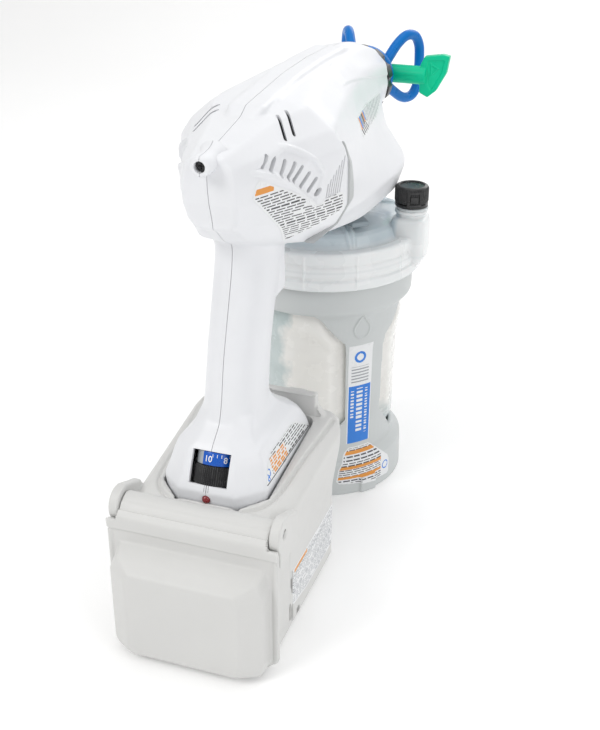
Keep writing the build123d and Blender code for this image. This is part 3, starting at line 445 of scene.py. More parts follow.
def gauss(a, sigma, axis, wrap):
    """Gaussian blur of an array along an axis, wrapped or clamped."""
    if sigma <= 0:
        return a
    r = int(3 * sigma + 1)
    k = np.exp(-0.5 * (np.arange(-r, r + 1) / sigma) ** 2)
    k /= k.sum()
    out = np.zeros_like(a)
    n = a.shape[axis]
    for i, w in zip(range(-r, r + 1), k):
        idx = (np.arange(n) + i) % n if wrap else np.clip(np.arange(n) + i, 0, n - 1)
        out += w * np.take(a, idx, axis=axis)
    return out


def poly_ring(pts, per_edge):
    """Closed polygon sampled with the same number of points on every edge."""
    pts = np.asarray(pts, float)
    out = []
    for i in range(len(pts)):
        a, b2 = pts[i], pts[(i + 1) % len(pts)]
        for k in range(per_edge):
            out.append(a + (b2 - a) * k / per_edge)
    return np.array(out)


def box_obj(name, lo, hi):
    xs, ys, zs = zip(lo, hi)
    v = [V(x, y, z) for z in zs for y in ys for x in xs]
    f = [(0, 2, 3, 1), (4, 5, 7, 6), (0, 1, 5, 4), (2, 6, 7, 3), (0, 4, 6, 2), (1, 3, 7, 5)]
    return mesh_obj(name, v, f)


def prism(name, pts2, plane, a, b2):
    """Closed prism. pts2 in the named plane, extruded between a and b2 along the third axis (station mm)."""
    def to3(p, t):
        if plane == "YZ":
            return V(t, p[0], p[1])
        if plane == "XZ":
            return V(p[0], t, p[1])
        return V(p[0], p[1], t)
    n = len(pts2)
    v = [to3(p, a) for p in pts2] + [to3(p, b2) for p in pts2]
    f = [tuple(range(n - 1, -1, -1)), tuple(range(n, 2 * n))] + [(i, (i + 1) % n, n + (i + 1) % n, n + i) for i in range(n)]
    return weld(mesh_obj(name, v, f))


def circle_pts(cx, cy, r, n=48):
    return [(cx + r * math.cos(2 * math.pi * i / n), cy + r * math.sin(2 * math.pi * i / n)) for i in range(n)]


def slot_pts(cx, cy, length, width, ang, n=8):
    r = width / 2
    h = length / 2 - r
    pts = []
    for s in (1, -1):
        for i in range(n + 1):
            t = (-90 + 180 * i / n) + (0 if s > 0 else 180)
            pts.append((s * h + r * math.cos(math.radians(t)), r * math.sin(math.radians(t))))
    c, s2 = math.cos(math.radians(ang)), math.sin(math.radians(ang))
    return [(cx + c * x - s2 * y, cy + s2 * x + c * y) for x, y in pts]


def lathe(name, prof, cx, cy, n=160, axis="Z"):
    """Closed profile (r, h) turned about a vertical axis (Z) or a line along Y through x=cx, z=cy."""
    k = len(prof)
    verts, faces = [], []
    idx = np.zeros((n, k), int)

    def at(r, h, t):
        if axis == "Z":
            return V(cx + r * math.cos(t), cy + r * math.sin(t), h)
        return V(cx + r * math.cos(t), h, cy + r * math.sin(t))
    for a, (r, h) in enumerate(prof):
        if r < 0.02:
            idx[:, a] = len(verts)
            verts.append(at(0, h, 0))
        else:
            for i in range(n):
                idx[i, a] = len(verts)
                verts.append(at(r, h, 2 * math.pi * i / n))
    for i in range(n):
        j = (i + 1) % n
        for a in range(k):
            c2 = (a + 1) % k
            f = []
            for q in (idx[i, a], idx[j, a], idx[j, c2], idx[i, c2]):
                if int(q) not in f:
                    f.append(int(q))
            if len(f) > 2:
                faces.append(tuple(f))
    return weld(mesh_obj(name, verts, faces), 1e-9)


def tube_path(name, pts, r, n=12, closed=False):
    """Round bar along a polyline (mm station coordinates)."""
    P3 = [np.array(p, float) for p in pts]
    rings = []
    up = np.array([0, 0, 1.0])
    m = len(P3)
    prev = None
    for i in range(m):
        if closed:
            t = P3[(i + 1) % m] - P3[i - 1]
        else:
            t = P3[min(i + 1, m - 1)] - P3[max(i - 1, 0)]
        t /= np.linalg.norm(t)
        if prev is None:
            ref = up if abs(t @ up) < 0.9 else np.array([1.0, 0, 0])
            u = np.cross(t, ref)
        else:
            u = prev - t * (prev @ t)
        u /= np.linalg.norm(u)
        prev = u
        w = np.cross(t, u)
        rr = r[i] if hasattr(r, "__len__") else r
        rings.append([tuple(V(*(P3[i] + rr * (math.cos(2 * math.pi * k / n) * u + math.sin(2 * math.pi * k / n) * w)))) for k in range(n)])
    if closed:
        rings.append(rings[0])
        return grid_tube(name, rings, cap=False)
    return grid_tube(name, rings)


# ------------------------------------------------------------------ moulded shell
HEAD = [(39.6, [(0, 289), (9, 288), (14, 282), (16, 273), (16, 262), (15, 252), (11, 246.5), (0, 246)]),
        (55, [(0, 292), (12, 290.5), (20.5, 283), (23.8, 273), (23.8, 257), (21.5, 246), (14, 236.5), (0, 236)]),
        (78, [(0, 296), (16, 294), (28, 285), (33.5, 274), (33.5, 252), (29, 240), (20, 229), (0, 224)]),
        (114.5, [(0, 302.5), (28, 298.5), (43, 286), (49.9, 275.5), (49.9, 242.5), (44, 231), (30, 219), (0, 213)]),
        (116.5, [(0, 302.6), (27.6, 298.4), (42.4, 285.8), (49.0, 275), (49.6, 243), (43.6, 231), (29.6, 219), (0, 213)])]
FIN = [(111, [(0, 290), (20, 288), (36, 282), (48.3, 273), (48.3, 243.5), (42.6, 232), (29.6, 220.5), (0, 216)]),
       (114.5, [(0, 290), (20, 288), (38, 281), (50.1, 275), (50.2, 242.5), (44.3, 230.8), (30.4, 218.7), (0, 214)]),
       (121, [(0, 288), (18, 284), (36, 277), (50.3, 266), (50.3, 242.8), (44.4, 231), (30.2, 218.9), (0, 214)]),
       (127, [(0, 286), (16, 280), (34, 272), (50.0, 254), (50.0, 243.6), (43.8, 232), (29.4, 219.6), (0, 214.6)]),
       (128.6, [(0, 284), (15, 278), (32, 270), (48.8, 251), (48.8, 244.2), (42.8, 233), (28.6, 220.6), (0, 215.6)])]
FRONT = [(111, [(0, 302), (27.4, 298), (42.2, 285.6), (46.4, 274), (46.4, 243), (41.8, 231.4), (28.4, 219.4), (0, 213.4)]),
         (121, [(0, 303.2), (27, 299), (41.6, 286.6), (46.4, 273.5), (46.6, 243.8), (42.4, 231.2), (29, 218.4), (0, 212.4)]),
         (150, [(0, 304.5), (22, 301), (36, 288), (44, 272), (46, 248), (45, 229), (34, 214), (0, 210)]),
         (178, [(0, 305), (18, 302), (31, 290), (40, 272), (46, 250), (49.5, 231), (41, 212), (0, 208)]),
         (205, [(0, 305), (15, 302), (27, 290), (34, 272), (44, 250), (53, 233), (46, 214), (0, 208)]),
         (233, [(0, 304), (13, 301), (24, 289), (30, 271), (41, 250), (54, 233), (48, 215), (0, 208)]),
         (262, [(0, 302), (13, 299.4), (23, 288), (27, 270), (33, 250), (44, 235), (37, 217), (0, 209)]),
         (282, [(0, 298.8), (13, 295.6), (22, 285), (24.3, 269), (22, 255), (18, 242), (14, 230), (0, 224)]),
         (287, [(0, 297.8), (13, 294.4), (21.4, 284.5), (24, 268.5), (21.5, 256), (16, 247), (9, 243), (0, 242)]),
         (299.6, [(0, 294.4), (12.6, 291), (20.2, 282.5), (23, 268), (21, 257.5), (15, 250), (7, 246.5), (0, 246)])]
HANDLE = [(112, 64.5, 20, 28), (130, 66.5, 17.5, 25), (142, 69.5, 16.3, 24), (165, 74.5, 16, 24.3), (195, 84, 16.2, 24.5),
          (222, 92.5, 16.8, 25.5), (246, 96, 19, 30)]
# height, half width, rear, front, rear corner, front corner
FOOT = [(85.5, 31, 20.2, 112.8, 13, 4), (97.5, 31.9, 18.8, 113.2, 14, 4), (105, 29.4, 21.8, 113.1, 13.5, 4.5),
        (113, 27.3, 25.6, 109.5, 12, 6), (118.5, 25.2, 28.4, 105, 11, 8), (121.5, 21.6, 30.6, 101.3, 10, 9),
        (125.5, 18.6, 35.4, 97, 9, 9), (130, 17.2, 41, 92, 8, 8), (134, 16, 44, 89, 7, 7)]


def points(me):
    co = np.empty(len(me.vertices) * 3)
    me.vertices.foreach_get("co", co)
    return co.reshape(-1, 3)


def pchip(xs, ys, xq):
    """Monotone cubic through (xs, ys) read at xq; ys may have more columns."""
    xs = np.asarray(xs, float)
    ys = np.asarray(ys, float)
    h = np.diff(xs)
    shape = (-1,) + (1,) * (ys.ndim - 1)
    d = np.diff(ys, axis=0) / h.reshape(shape)
    m = np.zeros_like(ys)
    w1 = (2 * h[1:] + h[:-1]).reshape(shape)
    w2 = (h[1:] + 2 * h[:-1]).reshape(shape)
    with np.errstate(divide="ignore", invalid="ignore"):
        hm = (w1 + w2) / (w1 / d[:-1] + w2 / d[1:])
    m[1:-1] = np.where(d[:-1] * d[1:] > 0, hm, 0)
    m[0], m[-1] = d[0], d[-1]
    k = np.clip(np.searchsorted(xs, xq, side="right") - 1, 0, len(xs) - 2)
    t = ((xq - xs[k]) / h[k]).reshape(shape)
    hk = h[k].reshape(shape)
    return ((1 + 2 * t) * (1 - t) ** 2 * ys[k] + t * (1 - t) ** 2 * hk * m[k]
            + t * t * (3 - 2 * t) * ys[k + 1] + t * t * (t - 1) * hk * m[k + 1])


def loft_head(name, stations, soft, step=1.0, per=12, round_a=0.0, round_b=0.0, blur=2.0, sect=1.4):
    ys = np.array([s[0] for s in stations], float)
    ctl = np.array([s[1] for s in stations], float)          # station, point, (x, z)
    yq = np.arange(ys[0], ys[-1] + 1e-6, step)
    if yq[-1] < ys[-1] - 1e-6:
        yq = np.append(yq, ys[-1])
    lin = np.stack([np.stack([np.interp(yq, ys, ctl[:, k, c]) for c in (0, 1)], -1) for k in range(ctl.shape[1])], 1)
    cub = pchip(ys, ctl, yq)
    c = lin * (1 - soft) + cub * soft
    pad = c.copy()
    c = gauss(c, blur / step, 0, False)
    # the blur is let go over the last few mm at each end so that the ends keep their size
    w = np.minimum(1, np.minimum(yq - yq[0], yq[-1] - yq) / (2.5 * blur + 1e-6))[:, None, None]
    c = pad * (1 - w) + c * w
    rings = []
    for i in range(len(yq)):
        half = []
        for k in range(ctl.shape[1] - 1):
            for t in range(per):
                half.append(c[i, k] + (c[i, k + 1] - c[i, k]) * t / per)
        half.append(c[i, -1])
        half = np.array(half)
        full = np.vstack([half, (half[1:-1] * (-1, 1))[::-1]])
        rings.append(full)
    R = np.array(rings)
    spacing = 22.0 / per
    R = gauss(R, sect / spacing, 1, True)
    out, yy = list(R), list(yq)

    def inset(ring, d):
        n = np.roll(ring, -1, 0) - np.roll(ring, 1, 0)
        n = np.stack([-n[:, 1], n[:, 0]], -1)
        n /= np.linalg.norm(n, axis=1)[:, None] + 1e-9
        cen = ring.mean(0)
        s = np.sign(((cen - ring) * n).sum(1))[:, None]
        return ring + n * s * d

    def ends(r, first):
        add = []
        for k in range(1, 6):
            t = math.radians(90 * k / 5)
            add.append((inset(R[0] if first else R[-1], r * (1 - math.cos(t))), r * math.sin(t)))
        return add
    if round_a:
        for ring, d in ends(round_a, True):
            out.insert(0, ring)
            yy.insert(0, yq[0] - d + 0.0)
    if round_b:
        for ring, d in ends(round_b, False):
            out.append(ring)
            yy.append(yq[-1] + d)
    return grid_tube(name, [[tuple(V(p[0], y, p[1])) for p in ring] for ring, y in zip(out, yy)])


def superellipse(a, b, n, count=96):
    pts = []
    for i in range(count):
        t = 2 * math.pi * i / count
        c, s = math.cos(t), math.sin(t)
        pts.append((a * math.copysign(abs(c) ** (2 / n), c), b * math.copysign(abs(s) ** (2 / n), s)))
    return np.array(pts)


def build_body_solid():
    parts = []
    rear = [list(s) for s in HEAD]
    parts.append(loft_head("rear", rear, 0.12, blur=1.9, sect=1.05, round_a=2.6, round_b=0.8))
    parts.append(loft_head("fin", FIN, 0.0, blur=0.6, sect=0.9, step=0.5, round_a=0.0, round_b=0.9))
    parts.append(loft_head("front", FRONT, 0.8, blur=3.0, sect=1.7, round_a=0.5, round_b=1.2))
    # handle
    zq = np.arange(112, 246.01, 1.0)
    H = np.array(HANDLE, float)
    hv = pchip(H[:, 0], H[:, 1:], zq)
    rings = []
    for z, (yc, a, b2) in zip(zq, hv):
        n = 2.55
        rings.append([tuple(V(px, yc + py, z)) for px, py in superellipse(a, b2, n)])
    parts.append(grid_tube("handle", rings))
    # hood over the trigger
    zh = np.arange(188.4, 234.1, 1.0)
    parts.append(grid_tube("hood", [[tuple(V(px, 103.6 + py, z)) for px, py in superellipse(14.6, 18.4 - 0.06 * (z - 188), 3.2)] for z in zh]))
    # foot
    zq = np.arange(85.5, 134.01, 0.75)
    F = np.array(FOOT, float)
    fv = np.stack([np.interp(zq, F[:, 0], F[:, k]) for k in range(1, 6)], -1)
    fv = gauss(fv, 0.7 / 0.75, 0, False)
    rings = []
    for z, (hx, y0, y1, c, d) in zip(zq, fv):
        k = 0.47
        poly = [(hx, y0 + c), (hx, y1 - d), (hx - d * k, y1 - d * k), (hx - d, y1), (-hx + d, y1), (-hx + d * k, y1 - d * k),
                (-hx, y1 - d), (-hx, y0 + c), (-hx + c * k, y0 + c * k), (-hx + c, y0 + 0.8), (0, y0), (hx - c, y0 + 0.8),
                (hx - c * k, y0 + c * k)]
        # equal arc spacing, so that the blur rounds every corner alike
        P = np.array(poly + [poly[0]])
        s = np.r_[0, np.cumsum(np.linalg.norm(np.diff(P, axis=0), axis=1))]
        q = np.linspace(0, s[-1], 321)[:-1]
        ring = np.stack([np.interp(q, s, P[:, 0]), np.interp(q, s, P[:, 1])], -1)
        ring = gauss(ring, 0.9 / (s[-1] / 320), 0, True)
        rings.append([tuple(V(p[0], p[1], z)) for p in ring])
    parts.append(grid_tube("foot", rings))
    # raised spine
    yq = np.arange(84, 262.1, 1.0)
    zt = np.interp(yq, [84, 92, 150, 190, 235, 262], [297.0, 301.2, 305.9, 306.5, 305.0, 299.0])
    rings = []
    for y, z in zip(yq, zt):
        hw = 11.0 if y > 92 else 11 - (92 - y) * 0.35
        sec = [(-hw, z - 9), (-hw, z - 1.2), (-hw + 1.6, z), (hw - 1.6, z), (hw, z - 1.2), (hw, z - 9)]
        rings.append([tuple(V(x, y, zz)) for x, zz in sec])
    parts.append(grid_tube("spine", rings))
    for o in parts:
        bm = bmesh.new()
        bm.from_mesh(o.data)
        bmesh.ops.recalc_face_normals(bm, faces=bm.faces)
        bm.to_mesh(o.data)
        bm.free()
    o = join(parts, "body_solid")
    return remesh(o, 0.8)


def laplacian(o, iters, weight):
    """Smooths the mesh with a weight for every vertex (numpy)."""
    me = o.data
    n = len(me.vertices)
    co = np.empty(n * 3)
    me.vertices.foreach_get("co", co)
    co = co.reshape(-1, 3)
    e = np.empty(len(me.edges) * 2, int)
    me.edges.foreach_get("vertices", e)
    e = e.reshape(-1, 2)
    deg = np.bincount(e.ravel(), minlength=n).astype(float)[:, None]
    w = weight(co / MM + (0, ORG, 0))[:, None]
    lam, mu = 0.6, -0.62
    for it in range(iters):
        for f in (lam, mu) if w.max() < 0 else (lam,):
            acc = np.zeros_like(co)
            for k in range(3):
                acc[:, k] = np.bincount(e[:, 0], co[e[:, 1], k], n) + np.bincount(e[:, 1], co[e[:, 0], k], n)
            co = co + f * w * (acc / deg - co)
    me.vertices.foreach_set("co", co.ravel())
    me.update()
    return o


def dist_poly(P, line):
    """Distance from 2-D points to a polyline, and the fraction along it."""
    line = np.asarray(line, float)
    best = np.full(len(P), 1e9)
    par = np.zeros(len(P))
    s = np.r_[0, np.cumsum(np.linalg.norm(np.diff(line, axis=0), axis=1))]
    for i in range(len(line) - 1):
        a, d = line[i], line[i + 1] - line[i]
        L = np.linalg.norm(d)
        t = np.clip(((P - a) @ d) / L ** 2, 0, 1)
        r = np.linalg.norm(P - a - t[:, None] * d, axis=1)
        m_ = r < best
        best[m_] = r[m_]
        par[m_] = (s[i] + t[m_] * L) / s[-1]
    return best, par


def smooth_line(pts, n=40):
    """Catmull-Rom through the points."""
    P = [np.array(p, float) for p in pts]
    P = [2 * P[0] - P[1]] + P + [2 * P[-1] - P[-2]]
    out = []
    for i in range(1, len(P) - 2):
        for k in range(n):
            t = k / n
            out.append(0.5 * (2 * P[i] + (P[i + 1] - P[i - 1]) * t + (2 * P[i - 1] - 5 * P[i] + 4 * P[i + 1] - P[i + 2]) * t * t
                              + (-P[i - 1] + 3 * P[i] - 3 * P[i + 1] + P[i + 2]) * t ** 3))
    out.append(P[-2])
    return np.array(out)


def inside(P, poly):
    x, y = P[:, 0], P[:, 1]
    c = np.zeros(len(P), bool)
    n = len(poly)
    for i in range(n):
        x1, y1 = poly[i]
        x2, y2 = poly[(i + 1) % n]
        m_ = (y1 > y) != (y2 > y)
        with np.errstate(divide="ignore", invalid="ignore"):
            xi = (x2 - x1) * (y - y1) / (y2 - y1) + x1
        c ^= m_ & (x < xi)
    return c


RIB1 = smooth_line([(75.4, 285.3), (80.4, 283.4), (85.1, 280.7), (89.4, 277.2), (92.8, 273), (97.3, 265.7)], 10)
RIB2 = smooth_line([(50.4, 277.6), (58.9, 274.6), (65.2, 271.4), (72.5, 266.8), (78.7, 261.4), (84.5, 255.6), (92, 248.4)], 10)


def sstep(a, b2, x):
    t = np.clip((x - a) / (b2 - a), 0, 1)
    return t * t * (3 - 2 * t)


def emboss(o):
    """Raised ribs, the louvre pocket and the nose-cap step pressed into the moulding along its own normals (mm)."""
    me = o.data
    n = len(me.vertices)
    co = np.empty(n * 3)
    me.vertices.foreach_get("co", co)
    co = co.reshape(-1, 3)
    nn = np.empty(n * 3)
    me.vertices.foreach_get("normal", nn)
    nn = nn.reshape(-1, 3)
    P = co / MM + (0, ORG, 0)
    d = np.zeros(n)
    yz = P[:, 1:]
    side = (np.abs(nn[:, 0]) > 0.35) & (P[:, 1] < 118) & (P[:, 2] > 216)
    for line, hgt in ((RIB1, 1.15), (RIB2, 1.15)):
        r, t = dist_poly(yz, line)
        ends = sstep(0, 0.08, t) * sstep(1, 0.93, t)
        d += np.where(side, hgt * sstep(1.9, 0.7, r) * (0.35 + 0.65 * ends) * (r < 2), 0)
    # pocket between the ribs round the louvres
    pocket = np.vstack([RIB1 + (0.4, -1.2), (RIB2 + (0.6, 1.4))[::-1]])
    m_ = inside(yz, [tuple(p) for p in pocket]) & side
    r, t = dist_poly(yz, np.vstack([pocket, pocket[:1]]))
    d -= np.where(m_, 0.9 * sstep(0.0, 1.4, r), 0)
    # step of the nose cap
    arc = smooth_line([(177.9, 293.6), (197, 291.9), (216.4, 289.2), (253, 282.6), (301, 273.5)], 12)
    up = np.interp(P[:, 1], arc[:, 0], arc[:, 1])
    nose = (P[:, 1] > 170) & (np.abs(nn[:, 0]) > 0.3) & (np.abs(P[:, 0]) > 10)
    fade = sstep(175, 195, P[:, 1])
    d += np.where(nose & (P[:, 2] > up - 6), 0.75 * sstep(-0.35, 0.5, P[:, 2] - up) * fade * sstep(14, 5, P[:, 2] - up), 0)
    # tail step under the rear face: its mask is worked out here, but no displacement is applied with it
    zt = 245.6 + 0 * P[:, 0]
    tail = (P[:, 1] < 50) & (nn[:, 1] < -0.2)
    co2 = co + nn * (d * MM)[:, None]
    me.vertices.foreach_set("co", co2.ravel())
    me.update()
    return o


def half_skin(src, sign, name, thick=2.3):
    """One moulded half: the solid cut at the seam, opened and given a wall."""
    bm = bmesh.new()
    bm.from_mesh(src.data)
    g = bm.verts[:] + bm.edges[:] + bm.faces[:]
    bmesh.ops.bisect_plane(bm, geom=g, dist=1e-7, plane_co=(sign * 0.16 * MM, 0, 0), plane_no=(sign, 0, 0), clear_inner=True)
    me = bpy.data.meshes.new(name)
    bm.to_mesh(me)
    bm.free()
    o = link(bpy.data.objects.new(name, me))
    m = o.modifiers.new("w", "SOLIDIFY")
    m.thickness = thick * MM
    m.offset = -1
    m.use_rim = True
    return bake(o)


LOUVRES = [(60.4, 281, 8.5), (65.1, 278, 10.3), (70.9, 274.8, 11.3), (76.2, 272, 12), (80.4, 269.3, 11.4), (85.5, 265, 10.8),
           (90.8, 261, 9.8), (94.4, 256, 5.0)]


def shell_cutters(sign):
    c = []
    for y, z, ln in LOUVRES:
        c.append(prism("c", slot_pts(y, z, ln + 0.6, 2.4, 44, 3), "YZ", sign * 8, sign * 60))
    for x, y in ((21.9, 87.6), (24.2, 94.8)):
        c.append(prism("c", slot_pts(sign * x, y, 16.8, 2.0, 90 + sign * 36.7), "XY", 270, 312))
    # fine vents next to the fin
    for i in range(7):
        y = 100.4 + 1.9 * i
        z0, z1 = 250.5 + 0.2 * i, 259.0 + 2.2 * i
        c.append(prism("c", slot_pts(y, (z0 + z1) / 2, (z1 - z0), 0.8, 78), "YZ", sign * 41.5, sign * 60))
    # dial window
    t = math.atan2(0.9167, 0.3995)
    ay, az = math.cos(t), math.sin(t)            # shaft direction
    bx = []
    for y_, z_ in ((-1, -1), (1, -1), (1, 1), (-1, 1)):
        zz = 12.4 if z_ > 0 else 7.2
        py = 34.7 + ay * z_ * zz
        pz = 103.4 + az * z_ * zz
        py += -az * y_ * 20
        pz += ay * y_ * 20
        bx.append((py, pz))
    c.append(prism("c", bx, "YZ", -11.2, 12.0))
    # trigger slot, nose bore, lamp bore, rear boss hole, bottom hole
    c.append(prism("c", [(84, 158), (126, 158), (126, 231), (84, 231)], "YZ", -8.2, 8.2))
    c.append(lathe("c", [(0, 280), (12, 280), (12, 306), (0, 306)], 0, 268, 48, "Y"))
    c.append(lathe("c", [(0, 10), (2.6, 10), (2.6, 32), (0, 32)], 0, 93.3, 32, "Y"))
    c.append(lathe("c", [(0, 20), (3.15, 20), (3.15, 36), (0, 36)], 0, 285, 40, "Y"))
    c.append(lathe("c", [(0, 190), (17, 190), (17, 222), (0, 222)], 0, 233, 48, "Z"))
    if sign < 0:
        c.append(prism("c", circle_pts(188, 244, 3.6), "YZ", -70, -36))
        for y, z in ((71, 150), (76, 178), (98, 104), (52, 268), (243, 291)):
            c.append(prism("c", circle_pts(y, z, 3.4), "YZ", -70, -4))
    return c


body = build_body_solid()
# the lower rear of the head leans forward
_co = points(body.data)
_P = _co / MM + (0, ORG, 0)
_dy = np.interp(_P[:, 2], [222, 236, 240, 244, 250, 256, 262, 272], [0, 1.0, 2.8, 5.0, 5.2, 3.6, 1.5, 0]) * sstep(88, 48, _P[:, 1])
_co[:, 1] += _dy * MM
body.data.vertices.foreach_set("co", _co.ravel())
body.data.update()


def w_body(P):
    y, z = P[:, 1], P[:, 2]
    w = np.where(z < 123, 0.12, 0.24)
    w = np.maximum(w, 0.4 * sstep(146, 136, z) * sstep(122, 128, z))                       # handle into foot
    w = np.maximum(w, sstep(196, 214, z) * sstep(250, 238, z) * (y < 92) * (y > 55))  # handle into head
    x = np.abs(P[:, 0])
    w[(np.abs(y - 121) < 10.5) & (z > 217) & (z < 280) & (x > 22)] = 0.09
    w[(np.abs(y - 116) < 7) & (z >= 280)] = 0.9
    return w


laplacian(body, 26, w_body)
emboss(body)
cut(body, [lathe("boss", [(0, 28.3), (4.3, 28.3), (5.1, 28.6), (5.5, 29.3), (5.7, 34), (6.1, 40), (7.2, 44), (9, 47), (0, 54)], 0, 285,
                 64, "Y")], "UNION")
for sign, nm in ((1, "right"), (-1, "left")):
    o = half_skin(body, sign, "shell_skin_" + nm)
    cut(o, shell_cutters(sign))
    finish_mesh(o, 42)
    set_mat(o, M["shell"])
    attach(o, "gun")
    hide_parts(nm + "_shell")


def louvre_painted_shade(src, sign):
    """Painted shade: a black sheet 3 mm inside the wall behind the louvres, following the wall, so that the slots read
    dark.
    """
    me = src.data
    n = len(me.polygons)
    c_ = np.empty(n * 3)
    me.polygons.foreach_get("center", c_)
    c_ = c_.reshape(-1, 3) / MM + (0, ORG, 0)
    n_ = np.empty(n * 3)
    me.polygons.foreach_get("normal", n_)
    n_ = n_.reshape(-1, 3)
    poly = np.vstack([RIB1 + (0.2, -0.6), (RIB2 + (0.3, 0.8))[::-1]])
    pick = np.nonzero(inside(c_[:, 1:], [tuple(p) for p in poly]) & (c_[:, 0] * sign > 8) & (n_[:, 0] * sign > 0.3))[0]
    co = points(me)
    vn = np.empty(len(co) * 3)
    me.vertices.foreach_get("normal", vn)
    vn = vn.reshape(-1, 3)
    new, verts, faces = {}, [], []
    for k in pick:
        f = []
        for v in me.polygons[int(k)].vertices:
            if v not in new:
                new[v] = len(verts)
                verts.append(tuple(co[v] - vn[v] * 3.1 * MM))
            f.append(new[v])
        faces.append(tuple(f))
    o = mesh_obj("louvre_painted_shade_" + ("right" if sign > 0 else "left"), verts, faces)
    m = o.modifiers.new("w", "SOLIDIFY")
    m.thickness = 0.4 * MM
    m.offset = -1
    bake(o)
    finish_mesh(o, 60)
    # black: painted shade seen through the louvre slots
    set_mat(o, M["black2"])
    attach(o, "gun")


louvre_painted_shade(body, 1)
louvre_painted_shade(body, -1)
drop(body)


def fin_blade(sign):
    """Crescent blade standing off the side where the two halves of the head meet."""
    rear = smooth_line([(116.4, 279), (117.4, 270), (118.0, 257), (117.8, 244), (115.4, 234), (110.5, 226.4), (104.5, 221.4)], 10)
    front = smooth_line([(117.0, 279), (121.4, 269), (126.4, 257), (128.4, 245), (124.6, 234.5), (117.5, 227.2), (105.6, 221.0)], 10)
    rings = []
    for (y0, z0), (y1, z1) in zip(rear, front):
        x0 = float(np.interp(z0, [219, 231, 243.5, 266, 280], [32.4, 45.6, 51.6, 51.8, 48.4]))
        x1 = float(np.interp(z1, [219, 231, 243.5, 266, 280], [31.6, 44.8, 50.9, 51.2, 48.0]))
        rings.append([tuple(V(sign * x0, y0, z0)), tuple(V(sign * x1, y1, z1)), tuple(V(sign * (x1 - 6), y1 - 0.3, z1)),
                      tuple(V(sign * (x0 - 6), y0 + 0.3, z0))])
    o = grid_tube("fin_blade_" + ("right" if sign > 0 else "left"), rings)
    bm = bmesh.new()
    bm.from_mesh(o.data)
    bmesh.ops.recalc_face_normals(bm, faces=bm.faces)
    bm.to_mesh(o.data)
    bm.free()
    remesh(o, 0.45)
    laplacian(o, 6, lambda P: np.full(len(P), 0.6))
    finish_mesh(o, 50)
    # darker grey than the shell: painted shade on the blade's side facet
    set_mat(o, M["shell_painted_shade"])
    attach(o, "gun")


fin_blade(1)
fin_blade(-1)


# ------------------------------------------------------------------ other mouldings
BODY_OF = {n: b_ for b_, ns in frame["record"]["behaviour"]["bodies"].items() for n in ns}
SLOT_OF = {s["node"]: s["material_slot"] for s in frame["record"]["subparts"]}


def put(o, node, mat, angle=40, body_name=None):
    finish_mesh(o, angle)
    set_mat(o, M[mat] if isinstance(mat, str) else mat)
    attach(o, body_name or BODY_OF[node])
    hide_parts(node)
    return o


def soften(node, voxel, iters, weight=None, mat=None, press=None, cutters=None, name=None):
    """The CAD solid with its edges eased as a moulding's are."""
    o = join([NODES[node]], name or node + "_skin")
    q = 1.0
    remesh(o, voxel * q)
    laplacian(o, max(2, int(iters / q)), weight or (lambda P: np.full(len(P), 0.5)))
    if press:
        press(o)
    if cutters:
        cut(o, cutters)
    return put(o, node, mat or SLOT_MAT[SLOT_OF[node]])


# battery case: soft shoulders, raised collar round the foot
_g = [(44, 118), (42.6, 100), (40.5, 80), (39.2, 63), (38.2, 48), (36.8, 36), (33, 26), (26, 19.5), (14, 16.4), (0, 15.6)]
GROOVE = smooth_line(_g + [(-x_, y_) for x_, y_ in _g[-2::-1]], 8)


def w_case(P):
    x, y, z = np.abs(P[:, 0]), P[:, 1], P[:, 2]
    w = np.full(len(P), 0.3)
    top = (z > 84) & (x > 34) & (y > 20) & (z < 108)
    w[top] = 0.85
    w[(z > 60) & (x > 41) & (y > 22)] = 0.85
    w[(z > 102) & (y > 110) & (x < 37)] = 0.4
    w[(y < 17) & (x > 44)] = 0.25
    w[(x < 1.6)] = 0.06
    w[(y > 10) & (y < 113) & (x < 36) & (z > 70)] = 0.3
    return w


def press_case(o):
    me = o.data
    co = points(me)
    nn = np.empty(len(co) * 3)
    me.vertices.foreach_get("normal", nn)
    nn = nn.reshape(-1, 3)
    P = co / MM + (0, ORG, 0)
    top = (nn[:, 2] > 0.3) & (P[:, 2] > 84)
    r, t = dist_poly(P[:, :2], GROOVE)
    ins = inside(P[:, :2], [tuple(p) for p in GROOVE] + [(-60, 160), (60, 160)][:0])
    d = np.where(top, -1.3 * np.exp(-(r / 1.0) ** 2) + np.where(ins, 1.0 * sstep(0.3, 1.8, r), 0), 0)
    # edge strip where the side panels meet the shoulders
    side = (np.abs(nn[:, 0]) > 0.6) & (np.abs(P[:, 0]) > 44)
    bead, t = dist_poly(P[:, 1:], [(31.5, 8), (31.5, 84)])
    d += np.where(side, -0.4 * np.exp(-(bead / 0.5) ** 2), 0)
    co = co + nn * (d * MM)[:, None]
    me.vertices.foreach_set("co", co.ravel())
    me.update()


def corner_fill(s_):
    """Fills the rear corner of the opening down to the faceted foot."""
    pl = [(19.2, 18.0), (34.0, 32.8), (34.9, 32.8), (34.9, 16.9), (19.2, 16.9)]
    lo = [tuple(V(s_ * x, y, 82)) for x, y in pl]
    hi = [tuple(V(s_ * x, y, 94 + (y - 48.4) * 0.109)) for x, y in pl]
    n = len(pl)
    f = [tuple(range(n))[::-1], tuple(range(n, 2 * n))] + [(i, (i + 1) % n, n + (i + 1) % n, n + i) for i in range(n)]
    o = mesh_obj("fill", lo + hi, f)
    bm = bmesh.new()
    bm.from_mesh(o.data)
    bmesh.ops.recalc_face_normals(bm, faces=bm.faces)
    bm.to_mesh(o.data)
    bm.free()
    return o


